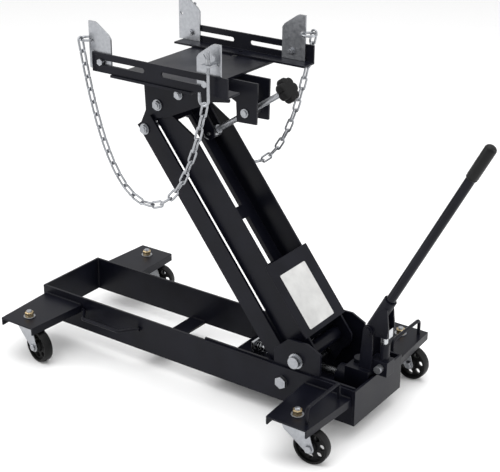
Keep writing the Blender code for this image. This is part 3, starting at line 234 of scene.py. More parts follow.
# %% The finishes
ENAMEL = {"dark": (0.0026, 0.0028, 0.0056), "light": (0.0052, 0.0056, 0.0100), "metallic": 0.0}
PLASTIC = {"dark": (0.0030, 0.0030, 0.0032), "light": (0.0065, 0.0065, 0.0068), "metallic": 0.0}
PAPER = {"dark": (0.46, 0.46, 0.455), "light": (0.56, 0.56, 0.55), "metallic": 0.0}
ZINC = {"dark": (0.31, 0.32, 0.34), "light": (0.38, 0.39, 0.41), "metallic": 1.0}
YELLOW_ZINC = {"dark": (0.36, 0.27, 0.15), "light": (0.54, 0.44, 0.27), "metallic": 1.0}
BARE_STEEL = {"dark": (0.42, 0.43, 0.45), "light": (0.58, 0.59, 0.61), "metallic": 1.0}
# lift paints the edges of the enamel finishes paler, as a painted highlight.
recipes = {
    "black_enamel": dict(
        ENAMEL, rough=(0.28, 0.40), ripple=0.10, grain=420.0, lift=0.16, dust=0.05, gloss=0.14
    ),
    "handle_lacquer": dict(
        ENAMEL, rough=(0.12, 0.18), ripple=0.03, grain=420.0, lift=0.12, gloss=0.15
    ),
    "zinc": dict(
        ZINC, rough=(0.32, 0.42), ripple=0.14, grain=1300.0, radius=0.0007, cloud=160.0
    ),
    "bright_steel": dict(
        BARE_STEEL, rough=(0.16, 0.30), ripple=0.05, grain=1600.0, radius=0.0005, cloud=40.0
    ),
    "yellow_zinc": dict(
        YELLOW_ZINC, rough=(0.28, 0.42), ripple=0.10, grain=1300.0, radius=0.0007, cloud=60.0
    ),
    "wheel_plastic": dict(
        PLASTIC, rough=(0.42, 0.56), ripple=0.22, grain=1500.0, radius=0.0008, dust=0.06, gloss=0.16
    ),
    "knob_plastic": dict(
        PLASTIC, rough=(0.50, 0.64), ripple=0.35, grain=1800.0, radius=0.0012, gloss=0.14
    ),
    "grip_rubber": dict(
        PLASTIC, rough=(0.30, 0.44), ripple=0.20, grain=1500.0, radius=0.0008, gloss=0.18
    ),
    "label_paper": dict(
        PAPER, rough=(0.38, 0.50), ripple=0.04, grain=700.0, radius=0.0002, cloud=30.0
    ),
    "weld_bead": dict(
        ENAMEL, rough=(0.34, 0.46), ripple=0.2, grain=600.0, radius=0.0004, gloss=0.2
    ),
}
finishes = {name: finish(name, **recipe) for name, recipe in recipes.items()}
print("finishes:", ", ".join(finishes))

# %% [markdown]
# ## Smooth shading on the frame's parts
# The frame's meshes arrive as loose triangles, so a round boss would look faceted. A small geometry
# node tree welds them and smooths every edge that is flatter than a set angle. It changes the shading,
# not the shape.


# %% Weld and smooth
SHARP_FOLD = math.radians(35)
WELD_WITHIN = 0.00001


def build_smoother():
    """Joins points that coincide, and keeps an edge sharp where it folds more than Sharp Angle."""
    tree = bpy.data.node_groups.new("weld_and_smooth", "GeometryNodeTree")
    tree.interface.new_socket("Geometry", in_out="INPUT", socket_type="NodeSocketGeometry")
    angle = tree.interface.new_socket("Sharp Angle", in_out="INPUT", socket_type="NodeSocketFloat")
    angle.default_value = SHARP_FOLD
    tree.interface.new_socket("Geometry", in_out="OUTPUT", socket_type="NodeSocketGeometry")
    entry = add(tree, "NodeGroupInput")
    leave = add(tree, "NodeGroupOutput")
    weld = add(tree, "GeometryNodeMergeByDistance")
    weld.inputs["Distance"].default_value = WELD_WITHIN
    smooth = add(tree, "GeometryNodeSetShadeSmooth", domain="FACE")
    sharp = add(tree, "GeometryNodeSetShadeSmooth", domain="EDGE")
    sharp.inputs["Shade Smooth"].default_value = False
    fold = add(tree, "GeometryNodeInputMeshEdgeAngle")
    over = add(tree, "ShaderNodeMath", operation="GREATER_THAN")
    tree.links.new(entry.outputs["Geometry"], weld.inputs["Geometry"])
    tree.links.new(weld.outputs["Geometry"], smooth.inputs["Geometry"])
    tree.links.new(smooth.outputs["Geometry"], sharp.inputs["Geometry"])
    tree.links.new(fold.outputs["Unsigned Angle"], over.inputs[0])
    tree.links.new(entry.outputs["Sharp Angle"], over.inputs[1])
    tree.links.new(over.outputs["Value"], sharp.inputs["Selection"])
    tree.links.new(sharp.outputs["Geometry"], leave.inputs["Geometry"])
    return tree


smoother = build_smoother()
slot_of_node = {part["node"]: part["material_slot"] for part in frame["record"]["subparts"]}
for name, part in nodes.items():
    part.data.materials.clear()
    part.data.materials.append(finishes[slot_of_node[name]])
    part.modifiers.new("weld_and_smooth", "NODES").node_group = smoother
print("finished", len(nodes), "frame parts")


# %% [markdown]
# ## Making meshes
# Round pieces are lathed from a profile, bent pieces are swept along a path, and flat ones are cut from
# an outline. Each helper gives back a mesh whose place is already in its vertices.


# %% Mesh helpers
SHARP_CREASE = math.radians(38)
SAME_POINT = 0.000001
SAME_CURVE_POINT = 0.000005


def frame_along(origin, direction):
    """A matrix at the origin given, whose Z axis runs along the direction."""
    turn = Vector(direction).to_track_quat("Z", "Y")
    return Matrix.Translation(origin) @ turn.to_matrix().to_4x4()


def piece(name, mesh, body, material, replaced=(), smooth=True):
    """Puts a mesh in the scene as a piece. It rides on a body, if one is given."""
    obj = bpy.data.objects.new(name, mesh)
    bpy.context.scene.collection.objects.link(obj)
    mesh.materials.clear()
    mesh.materials.append(finishes[material])
    if smooth:
        mesh.shade_smooth()
        mesh.set_sharp_from_angle(angle=SHARP_CREASE)
    if body:
        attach(obj, body)
    if replaced:
        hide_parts(*replaced)
    return obj


def lathe(profile, place, steps=64):
    """Turns a closed ring of (radius, height) points about Z, then places it."""
    bm = bmesh.new()
    rings = []
    for i in range(steps):
        turn = 2 * math.pi * i / steps
        rings.append(
            [bm.verts.new((r * math.cos(turn), r * math.sin(turn), h)) for r, h in profile]
        )
    count = len(profile)
    for i, here in enumerate(rings):
        following = rings[(i + 1) % steps]
        for j in range(count):
            k = (j + 1) % count
            bm.faces.new((here[j], following[j], following[k], here[k]))
    bmesh.ops.remove_doubles(bm, verts=bm.verts, dist=SAME_POINT)
    bmesh.ops.dissolve_degenerate(bm, edges=bm.edges, dist=SAME_POINT)
    bmesh.ops.recalc_face_normals(bm, faces=bm.faces)
    mesh = bpy.data.meshes.new("lathe")
    bm.to_mesh(mesh)
    bm.free()
    mesh.transform(place)
    return mesh


def mesh_from(obj):
    """The evaluated mesh of a scratch object, which is then removed."""
    bpy.context.view_layer.update()
    graph = bpy.context.evaluated_depsgraph_get()
    mesh = bpy.data.meshes.new_from_object(obj.evaluated_get(graph))
    bpy.data.objects.remove(obj, do_unlink=True)
    bm = bmesh.new()
    bm.from_mesh(mesh)
    bmesh.ops.remove_doubles(bm, verts=bm.verts, dist=SAME_CURVE_POINT)
    bmesh.ops.recalc_face_normals(bm, faces=bm.faces)
    bm.to_mesh(mesh)
    bm.free()
    return mesh


def sweep(points, radius, closed=False, resolution=3):
    """A round wire through the points."""
    curve = bpy.data.curves.new("wire", "CURVE")
    curve.dimensions = "3D"
    curve.bevel_depth = radius
    curve.bevel_resolution = resolution
    curve.use_fill_caps = True
    spline = curve.splines.new("POLY")
    spline.points.add(len(points) - 1)
    for target, point in zip(spline.points, points):
        target.co = (*point, 1.0)
    spline.use_cyclic_u = closed
    holder = bpy.data.objects.new("wire", curve)
    bpy.context.scene.collection.objects.link(holder)
    return mesh_from(holder)


def plate(outline, thickness, place, holes=(), bevel=0.0):
    """A flat plate cut from an outline in XY, centred on Z = 0, then placed."""
    curve = bpy.data.curves.new("outline", "CURVE")
    curve.dimensions = "2D"
    curve.fill_mode = "BOTH"
    curve.extrude = thickness / 2 - bevel
    curve.bevel_depth = bevel
    curve.bevel_resolution = 2
    for points in (outline, *holes):
        spline = curve.splines.new("POLY")
        spline.points.add(len(points) - 1)
        for target, (u, v) in zip(spline.points, points):
            target.co = (u, v, 0.0, 1.0)
        spline.use_cyclic_u = True
    holder = bpy.data.objects.new("plate", curve)
    bpy.context.scene.collection.objects.link(holder)
    mesh = mesh_from(holder)
    mesh.transform(place)
    return mesh


def ring(radius, count=32, centre=(0.0, 0.0)):
    """A circle of points, as an outline or a hole for a plate."""
    steps = [2 * math.pi * i / count for i in range(count)]
    return [(centre[0] + radius * math.cos(t), centre[1] + radius * math.sin(t)) for t in steps]


def joined(*meshes):
    """The meshes as one."""
    bm = bmesh.new()
    for mesh in meshes:
        bm.from_mesh(mesh)
    whole = bpy.data.meshes.new("joined")
    bm.to_mesh(whole)
    bm.free()
    return whole


# %% [markdown]
# ## Wheels
# Each caster wheel is a single moulding: a crowned tread, a thin web with a ring of round holes, and a
# hub. The web is a plate with holes, and the tread and the hub are lathed, so that the holes stay truly
# round.

# %% Caster wheels
wheel_low, wheel_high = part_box("caster_wheel_rear_left")
WHEEL_RADIUS = (wheel_high[2] - wheel_low[2]) / 2
TREAD_HALF = 0.011
TREAD_DEPTH = 0.0070
WEB_THICKNESS, WEB_BORE, WEB_BEVEL = 0.0076, 0.0120, 0.0007
HOLES, HOLE_RADIUS, HOLE_CIRCLE = 7, 0.0068, 0.0229
FIRST_HOLE = math.radians(18)
for corner in CORNERS:
    spin = joints[f"wheel_{corner}_spin"]
    place = frame_along(Vector(spin["pos_m"]), spin["axis"])
    rim_inner = WHEEL_RADIUS - TREAD_DEPTH
    tread = [
        (rim_inner, -0.0045),
        (rim_inner + 0.0012, -TREAD_HALF + 0.001),
        (rim_inner + 0.0030, -TREAD_HALF),
        (WHEEL_RADIUS - 0.0030, -TREAD_HALF),
        (WHEEL_RADIUS - 0.0010, -TREAD_HALF + 0.0012),
        (WHEEL_RADIUS - 0.0002, -TREAD_HALF + 0.0045),
        (WHEEL_RADIUS, 0.0),
    ]
    tread += [(r, -h) for r, h in reversed(tread[:-1])]
    hub = [(0.0056, -TREAD_HALF), (0.0112, -TREAD_HALF)]
    hub += [(0.0125, -TREAD_HALF + 0.0012), (0.0138, -0.004)]
    hub += [(r, -h) for r, h in reversed(hub)]
    openings = [ring(WEB_BORE, 40)]
    for t in (FIRST_HOLE + 2 * math.pi * i / HOLES for i in range(HOLES)):
        centre = (HOLE_CIRCLE * math.cos(t), HOLE_CIRCLE * math.sin(t))
        openings.append(ring(HOLE_RADIUS, 32, centre))
    web = plate(ring(rim_inner + 0.0005, 72), WEB_THICKNESS, place, openings, WEB_BEVEL)
    wheel = joined(lathe(tread, place, 72), lathe(hub, place, 48), web)
    piece(
        f"wheel_{corner}_moulding",
        wheel,
        f"wheel_{corner}",
        "wheel_plastic",
        [f"caster_wheel_{corner}"],
    )
print("wheels:", len(CORNERS), "of radius", round(WHEEL_RADIUS, 4))

# %% [markdown]
# ## Chains and weld beads
# A chain is one link repeated along a hanging curve, each turned a quarter against the last. A weld is
# one small ripple repeated along a seam. One geometry node tree does both: it spreads points along a
# path, puts the given shape on each, and turns every next one by a set angle.


# %% Repeat along a path
def build_repeater():
    """Count copies of Shape along a curve, each turned by Turn against the one before."""
    tree = bpy.data.node_groups.new("repeat_along_path", "GeometryNodeTree")
    tree.interface.new_socket("Geometry", in_out="INPUT", socket_type="NodeSocketGeometry")
    tree.interface.new_socket("Shape", in_out="INPUT", socket_type="NodeSocketObject")
    tree.interface.new_socket("Count", in_out="INPUT", socket_type="NodeSocketInt").default_value = 10
    tree.interface.new_socket("Turn", in_out="INPUT", socket_type="NodeSocketFloat")
    tree.interface.new_socket("Material", in_out="INPUT", socket_type="NodeSocketMaterial")
    tree.interface.new_socket("Geometry", in_out="OUTPUT", socket_type="NodeSocketGeometry")
    entry = add(tree, "NodeGroupInput")
    leave = add(tree, "NodeGroupOutput")
    points = add(tree, "GeometryNodeCurveToPoints", mode="COUNT")
    shape = add(tree, "GeometryNodeObjectInfo")
    index = add(tree, "GeometryNodeInputIndex")
    amount = add(tree, "ShaderNodeMath", operation="MULTIPLY")
    roll = add(tree, "FunctionNodeAxisAngleToRotation")
    roll.inputs["Axis"].default_value = (0.0, 0.0, 1.0)
    turn = add(tree, "FunctionNodeRotateRotation", rotation_space="LOCAL")
    copies = add(tree, "GeometryNodeInstanceOnPoints")
    real = add(tree, "GeometryNodeRealizeInstances")
    paint = add(tree, "GeometryNodeSetMaterial")
    link = tree.links.new
    link(entry.outputs["Geometry"], points.inputs["Curve"])
    link(entry.outputs["Count"], points.inputs["Count"])
    link(entry.outputs["Shape"], shape.inputs["Object"])
    link(index.outputs["Index"], amount.inputs[0])
    link(entry.outputs["Turn"], amount.inputs[1])
    link(amount.outputs["Value"], roll.inputs["Angle"])
    link(points.outputs["Rotation"], turn.inputs["Rotation"])
    link(roll.outputs["Rotation"], turn.inputs["Rotate By"])
    link(points.outputs["Points"], copies.inputs["Points"])
    link(shape.outputs["Geometry"], copies.inputs["Instance"])
    link(turn.outputs["Rotation"], copies.inputs["Rotation"])
    link(copies.outputs["Instances"], real.inputs["Geometry"])
    link(real.outputs["Geometry"], paint.inputs["Geometry"])
    link(entry.outputs["Material"], paint.inputs["Material"])
    link(paint.outputs["Geometry"], leave.inputs["Geometry"])
    return tree


repeater = build_repeater()
identifiers = {
    item.name: item.identifier
    for item in repeater.interface.items_tree
    if item.in_out == "INPUT"
}


def repeat(path, shape_mesh, count, turn, material):
    """One mesh of the shape repeated along the path."""
    shape = bpy.data.objects.new("repeated_shape", shape_mesh)
    bpy.context.scene.collection.objects.link(shape)
    curve = bpy.data.curves.new("path", "CURVE")
    curve.dimensions = "3D"
    spline = curve.splines.new("POLY")
    spline.points.add(len(path) - 1)
    for target, point in zip(spline.points, path):
        target.co = (*point, 1.0)
    holder = bpy.data.objects.new("path", curve)
    bpy.context.scene.collection.objects.link(holder)
    modifier = holder.modifiers.new("repeat", "NODES")
    modifier.node_group = repeater
    modifier[identifiers["Shape"]] = shape
    modifier[identifiers["Count"]] = count
    modifier[identifiers["Turn"]] = turn
    modifier[identifiers["Material"]] = finishes[material]
    bpy.context.view_layer.update()
    graph = bpy.context.evaluated_depsgraph_get()
    mesh = bpy.data.meshes.new_from_object(holder.evaluated_get(graph))
    bpy.data.objects.remove(holder, do_unlink=True)
    bpy.data.objects.remove(shape, do_unlink=True)
    return mesh


print("repeater inputs:", ", ".join(identifiers))

# %% Chain link
LINK_WIRE = 0.0023
LINK_BEND = 0.0060
LINK_STRAIGHT = 0.0093
BEND_STEPS = 12


def link_mesh():
    """A welded link in the XZ plane, long way up Z."""
    loop = []
    for side in (1, -1):
        for i in range(BEND_STEPS + 1):
            t = math.radians(180 * i / BEND_STEPS + (0 if side > 0 else 180))
            height = side * LINK_STRAIGHT + LINK_BEND * math.sin(t)
            loop.append((LINK_BEND * math.cos(t), 0.0, height))
    return sweep(loop, LINK_WIRE, closed=True)


def hanging_curve(start, end, lowest, count=80):
    """The curve of a hanging chain, found by halving until its lowest point fits."""
    span = end.x - start.x
    rises = (start.z - lowest, end.z - lowest)
    small, large = 0.001, 10.0
    for _ in range(60):
        middle = (small + large) / 2
        reach = middle * sum(math.acosh(1 + rise / middle) for rise in rises)
        small, large = (middle, large) if reach < span else (small, middle)
    low_x = start.x + small * math.acosh(1 + rises[0] / small)
    first, last = math.sinh((start.x - low_x) / small), math.sinh((end.x - low_x) / small)
    points = []
    for i in range(count):
        share = i / (count - 1)
        u = math.asinh(first + (last - first) * share)
        height = lowest + small * (math.cosh(u) - 1)
        points.append(Vector((low_x + small * u, start.y + (end.y - start.y) * share, height)))
    return points


def some_links(mesh, count, wanted):
    """A copy of a chain with only the links whose numbers are wanted."""
    per_link = len(mesh.vertices) // count
    bm = bmesh.new()
    bm.from_mesh(mesh)
    spare = [vertex for vertex in bm.verts if vertex.index // per_link not in wanted]
    bmesh.ops.delete(bm, geom=spare, context="VERTS")
    part = bpy.data.meshes.new("some_links")
    bm.to_mesh(part)
    bm.free()
    return part


# %% [markdown]
# ## How the chains are split
# Both ends of a chain hang from fingers that slide, and its loop would reach under the wings when the
# saddle is low. So each chain is made once and then split in three. The loop below the hooks rides on
# the rail, and the two ends ride on no body, with their place baked into their vertices.

# %% The two chains
# The frame's chain is a plain cord of this radius, and the links follow its middle line.
CORD_RADIUS = 0.0085
CHAIN_END_DROP = 0.006
LOOP_BELOW_HOOK = 0.060
CHAIN_FINGERS = {
    "left": {"hook": "finger_rear_left_slide", "ring": "finger_front_left_slide"},
    "right": {"hook": "finger_front_right_slide", "ring": "finger_rear_right_slide"},
}
for side, fingers in CHAIN_FINGERS.items():
    low, high = (Vector(corner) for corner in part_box(f"chain_{side}"))
    hook_low, hook_high = (Vector(corner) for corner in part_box(f"chain_hook_{side}"))
    ring_low = Vector(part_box(f"chain_ring_{side}")[0])
    hook_end = Vector((0, (hook_low.y + hook_high.y) / 2, hook_low.z - CHAIN_END_DROP))
    ring_y = min((low.y, high.y), key=abs)
    ring_y += math.copysign(CORD_RADIUS, ring_y)
    ring_end = Vector((0, ring_y, ring_low.z - CHAIN_END_DROP))
    first, last = (ring_end, hook_end) if side == "left" else (hook_end, ring_end)
    first.x, last.x = low.x + CORD_RADIUS, high.x - CORD_RADIUS
    route = hanging_curve(first, last, low.z + CORD_RADIUS)
    length = sum((b - a).length for a, b in zip(route, route[1:]))
    count = round(length / (2 * (LINK_STRAIGHT + LINK_BEND - LINK_WIRE))) + 1
    mesh = repeat(route, link_mesh(), count, math.pi / 2, "zinc")
    level = hook_end.z - LOOP_BELOW_HOOK
    per_link = len(mesh.vertices) // count
    centres = []
    for i in range(count):
        corners = mesh.vertices[i * per_link : (i + 1) * per_link]
        centres.append(sum((vertex.co for vertex in corners), Vector()) / per_link)
    middle = (hook_end.x + ring_end.x) / 2
    below = [i for i in range(count) if centres[i].z <= level]
    above = [i for i in range(count) if centres[i].z > level]
    loop = some_links(mesh, count, below)
    loop = piece(f"chain_{side}_loop", loop, f"rail_{side}", "zinc", [f"chain_{side}"])
    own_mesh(loop)
    for name, end in (("hook", hook_end), ("ring", ring_end)):
        near = [i for i in above if (centres[i].x - middle) * (end.x - middle) > 0]
        upper = some_links(mesh, count, near)
        upper = piece(f"chain_{side}_{name}_end", upper, None, "zinc")
        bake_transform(upper)
    print("chain", side, "has", count, "links over", round(length, 3))

# %% [markdown]
# ## Hook bolts, tilt screw and knob
# The hooks and the tilt screw are cut with threads. A thread is a thin wire wound round the bar, sunk
# so that only its crest stands out. The knob is a lobed moulding with a rounded rim and a short hub
# behind it.


# %% Threads
STEPS_PER_TURN = 14


def thread(start, end, radius, pitch, crest):
    """A helical crest round the bar from start to end."""
    start, end = Vector(start), Vector(end)
    place = frame_along(start, end - start)
    turns = (end - start).length / pitch
    steps = int(turns * STEPS_PER_TURN)
    points = []
    for i in range(steps + 1):
        t = 2 * math.pi * turns * i / steps
        climb = pitch * t / (2 * math.pi)
        points.append(place @ Vector((radius * math.cos(t), radius * math.sin(t), climb)))
    return sweep(points, crest, resolution=1)


knob_joint = joints["knob_turn"]
anchor_point = Vector(knob_joint["pos_m"])
along = -Vector(knob_joint["axis"]).normalized()
knob_centre = sum((Vector(corner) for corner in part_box("star_knob")), Vector()) / 2
knob_distance = (knob_centre - anchor_point).dot(along)
SCREW_ROOT, SCREW_TIP = 0.021, 0.013
SCREW_RADIUS, SCREW_PITCH, SCREW_CREST = 0.0057, 0.0030, 0.0005
thread_start = anchor_point + along * SCREW_ROOT
thread_end = knob_centre - along * SCREW_TIP
screw_thread = thread(thread_start, thread_end, SCREW_RADIUS, SCREW_PITCH, SCREW_CREST)
piece("tilt_screw_thread", screw_thread, "knob", "zinc")
WING_NUT_REACH = 0.015
SHANK_RADIUS, SHANK_PITCH, SHANK_CREST = 0.0032, 0.0014, 0.00032
SHANK_THREAD, SHANK_TIP = 0.046, 0.001
for side, fingers in CHAIN_FINGERS.items():
    low, high = (Vector(corner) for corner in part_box(f"chain_hook_{side}"))
    # The shank stands in the middle of its wing nut, and the nut's tip is the hook's outer end.
    shank_x = high.x - WING_NUT_REACH if side == "left" else low.x + WING_NUT_REACH
    top = Vector((shank_x, (low.y + high.y) / 2, high.z - SHANK_TIP))
    bottom = top - Vector((0, 0, SHANK_THREAD))
    hook_thread = thread(bottom, top, SHANK_RADIUS, SHANK_PITCH, SHANK_CREST)
    piece(f"chain_hook_{side}_thread", hook_thread, fingers["hook"], "zinc")
print("tilt screw thread reaches", round(knob_distance, 3), "from its anchor")

# %% Star knob
LOBES = 7
knob_low, knob_high = (Vector(corner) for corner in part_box("star_knob"))
KNOB_RADIUS = (knob_high.y - knob_low.y) / 2
VALLEY_DEPTH = 0.0052
KNOB_STEPS = 126
KNOB_LAYERS = ((-0.0095, 0.84), (-0.0088, 0.92), (-0.0070, 0.98), (-0.0045, 1.0))
KNOB_LAYERS += ((0.0040, 1.0), (0.0068, 0.985), (0.0088, 0.93), (0.0098, 0.84), (0.0101, 0.60))


def lobe_radius(t):
    """Round lobes with narrow valleys between them."""
    wave = abs(math.cos(LOBES * t / 2))
    return KNOB_RADIUS - VALLEY_DEPTH * (1 - wave**0.7)


def knob_mesh(place):
    """The lobed outline stacked in layers, drawn in a little at the rims."""
    bm = bmesh.new()
    layers = []
    for height, share in KNOB_LAYERS:
        layer = []
        for i in range(KNOB_STEPS):
            t = 2 * math.pi * i / KNOB_STEPS
            radius = share * lobe_radius(t)
            layer.append(bm.verts.new((radius * math.cos(t), radius * math.sin(t), height)))
        layers.append(layer)
    for below, above in zip(layers, layers[1:]):
        for i in range(KNOB_STEPS):
            j = (i + 1) % KNOB_STEPS
            bm.faces.new((below[i], below[j], above[j], above[i]))
    bm.faces.new(layers[0][::-1])
    bm.faces.new(layers[-1])
    bmesh.ops.recalc_face_normals(bm, faces=bm.faces)
    mesh = bpy.data.meshes.new("knob")
    bm.to_mesh(mesh)
    bm.free()
    mesh.transform(place)
    return mesh


knob_place = frame_along(knob_centre, along)
knob_hub = [(0.0064, -0.0128), (0.0115, -0.0128), (0.0125, -0.0112)]
knob_hub += [(0.0135, -0.0080), (0.0064, -0.0080)]
knob = joined(knob_mesh(knob_place), lathe(knob_hub, knob_place, 48))
piece("star_knob_moulding", knob, "knob", "knob_plastic", ["star_knob"])
print("knob with", LOBES, "lobes")

# %% [markdown]
# ## Handle and grip
# The loose handle is a plain black tube that drops into the pump's socket. A dipped vinyl grip covers
# its top, with a rounded end and a thin rolled lip at its foot.

# %% Handle tube and grip
handle_axis = Vector(joints["handle_draw"]["axis"]).normalized()


def ends_of(node, radius):
    """Both ends of a round bar that lies along the handle."""
    low, high = (Vector(corner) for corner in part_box(node))
    across = Vector((radius * handle_axis.z, 0.0, radius * handle_axis.x))
    return (
        Vector((low.x + across.x, 0.0, low.z + across.z)),
        Vector((high.x - across.x, 0.0, high.z - across.z)),
    )


TUBE_RADIUS = 0.0100
tube_start, tube_end = ends_of("handle_tube", TUBE_RADIUS)
tube_length = (tube_end - tube_start).length
tube_profile = [(0.0, 0.0), (TUBE_RADIUS, 0.0), (TUBE_RADIUS, tube_length), (0.0, tube_length)]
tube = lathe(tube_profile, frame_along(tube_start, handle_axis), 56)
piece("handle_tube_bar", tube, "handle", "handle_lacquer", ["handle_tube"])
GRIP_RADIUS, GRIP_ROUNDING = 0.0122, 0.0085
GRIP_LINING, GRIP_CAP_GAP = 0.0002, 0.0004
# The grip leans, so the corners of its box lie this far beyond its top and its foot, along its length.
GRIP_TOP_OVER, GRIP_FOOT_OVER = 0.0054, 0.0098
QUARTER_STEPS = 8
grip_low, grip_high = (Vector(corner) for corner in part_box("handle_grip"))
grip_corner = Vector((grip_high.x, 0.0, grip_high.z))
grip_top = (grip_corner - tube_start).dot(handle_axis) - GRIP_TOP_OVER
grip_foot = (grip_low - tube_start).dot(handle_axis) + GRIP_FOOT_OVER
inner = TUBE_RADIUS + GRIP_LINING
grip_profile = [(inner, grip_foot), (inner + 0.0012, grip_foot), (inner + 0.0019, grip_foot + 0.0012)]
grip_profile += [(inner + 0.0012, grip_foot + 0.0030), (GRIP_RADIUS, grip_foot + 0.0060)]
for i in range(QUARTER_STEPS + 1):
    t = math.radians(90 * i / QUARTER_STEPS)
    across = GRIP_RADIUS - GRIP_ROUNDING + GRIP_ROUNDING * math.cos(t)
    along_grip = grip_top - GRIP_ROUNDING + GRIP_ROUNDING * math.sin(t)
    grip_profile.append((across, along_grip))
cap_inside = tube_length + GRIP_CAP_GAP
grip_profile += [(0.0, grip_top), (0.0, cap_inside), (inner, cap_inside)]
grip = lathe(grip_profile, frame_along(tube_start, handle_axis), 56)
piece("handle_grip_sleeve", grip, "handle", "grip_rubber", ["handle_grip"])
print("handle", round(tube_length, 3), "long")

# %% [markdown]
# ## Return spring
# The spring that sends the ram back is wound round its guide rod. It is drawn as a fine helix with its
# last turn closed at each end.

# %% Spring
spring_low, spring_high = (Vector(corner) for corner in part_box("ram_return_spring"))
SPRING_WIRE, SPRING_TURNS, COIL_STEPS = 0.0014, 13, 24
# The share of the wire that lies closed at one end, and the share between the two closed ends.
CLOSED_SHARE, OPEN_SHARE = 0.06, 0.88
mid_z = (spring_low.z + spring_high.z) / 2
coil_radius = (spring_high.y - spring_low.y) / 2 - SPRING_WIRE
coil = []
for i in range(SPRING_TURNS * COIL_STEPS + 1):
    share = i / (SPRING_TURNS * COIL_STEPS)
    t = 2 * math.pi * SPRING_TURNS * share
    stretch = min(max((share - CLOSED_SHARE) / OPEN_SHARE, 0.0), 1.0)
    x = spring_low.x + SPRING_WIRE + (spring_high.x - spring_low.x - 2 * SPRING_WIRE) * stretch
    coil.append((x, coil_radius * math.cos(t), mid_z + coil_radius * math.sin(t)))
replaced = ["ram_return_spring"]
coil_mesh = sweep(coil, SPRING_WIRE)
spring = piece("return_spring_coil", coil_mesh, None, "bright_steel", replaced)
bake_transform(spring)
print("spring of", SPRING_TURNS, "turns")

# %% [markdown]
# ## Caster forks
# A caster fork is pressed from zinc-plated sheet: two cheeks, broad under the ball race and narrow at
# the axle, folded down from a flat crown. A stem goes up through the wing, where a yellow zinc nut
# holds it. The cheeks are plates cut from an outline, and everything round is lathed.

# %% Fork sizes
CHEEK_INNER, CHEEK_SHEET = 0.0135, 0.0025
NUT_RADIUS, STEM_ABOVE, RACE_HEIGHT = 0.0105, 0.0165, 0.0077
# From the wing's top down to the fork's crown: the wing's sheet, then the room for the ball race.
WING_SHEET, RACE_ROOM = 0.004, 0.008
CHEEK_CROWN = ((-0.0250, 0.0), (-0.0262, -0.0060), (-0.0225, -0.0170))
EYE_RADIUS, EYE_STEPS = 0.0105, 12
UPRIGHT = Matrix(((1, 0, 0), (0, 0, -1), (0, 1, 0))).to_4x4()


def cheek_outline(crown, eye):
    """One cheek from the side, broad at the crown and round about the axle's eye."""
    points = [(x, crown + z) for x, z in CHEEK_CROWN]
    for i in range(EYE_STEPS + 1):
        t = math.radians(215 + 160 * i / EYE_STEPS)
        points.append((eye[0] + EYE_RADIUS * math.cos(t), eye[1] + EYE_RADIUS * math.sin(t)))
    return points + [(0.0335, crown - 0.0150), (0.0280, crown)]


def fork_mesh(crown, eye, wing_top, place):
    """Cheeks, axle heads, crown, ball race, axle, stem and washer, as one mesh."""
    meshes = []
    outline = cheek_outline(crown, eye)
    for side in (-1, 1):
        shift = Matrix.Translation((0, side * (CHEEK_INNER + CHEEK_SHEET / 2), 0))
        meshes.append(plate(outline, CHEEK_SHEET, place @ shift @ UPRIGHT, bevel=0.0006))
        head = [(0.0, 0.0), (0.0085, 0.0), (0.0085, 0.0045), (0.0072, 0.0056), (0.0, 0.0056)]
        out = frame_along((eye[0], side * (CHEEK_INNER + CHEEK_SHEET - 0.0002), eye[1]), (0, side, 0))
        meshes.append(lathe(head, place @ out, 6))
    crown_outline = [(-0.0250, -0.0150), (0.0280, -0.0150), (0.0280, 0.0150), (-0.0250, 0.0150)]
    flat = Matrix.Translation((0, 0, crown - CHEEK_SHEET / 2))
    meshes.append(plate(crown_outline, CHEEK_SHEET, place @ flat, bevel=0.0004))
    race = [(0.0, -0.0005), (0.0235, -0.0005), (0.0245, 0.0012), (0.0240, 0.0032), (0.0205, 0.0050)]
    race += [(0.0190, RACE_HEIGHT), (0.0, RACE_HEIGHT)]
    meshes.append(lathe(race, place @ Matrix.Translation((0, 0, crown)), 56))
    axle = [(0.0, -CHEEK_INNER - 0.001), (0.0050, -CHEEK_INNER - 0.001)]
    axle += [(0.0050, CHEEK_INNER + 0.001), (0.0, CHEEK_INNER + 0.001)]
    meshes.append(lathe(axle, place @ frame_along((eye[0], 0, eye[1]), (0, 1, 0)), 32))
    low = wing_top + 0.0003 - crown
    top = wing_top + STEM_ABOVE - crown
    stem = [(0.0, 0.001), (0.0060, 0.001), (0.0060, top - 0.0022)]
    stem += [(0.0052, top - 0.0008), (0.0030, top), (0.0, top)]
    meshes.append(lathe(stem, place @ Matrix.Translation((0, 0, crown)), 32))
    washer = [(0.0061, low), (0.0132, low), (0.0135, low + 0.0004)]
    washer += [(0.0132, low + 0.0018), (0.0061, low + 0.0018)]
    meshes.append(lathe(washer, place @ Matrix.Translation((0, 0, crown)), 48))
    return joined(*meshes)


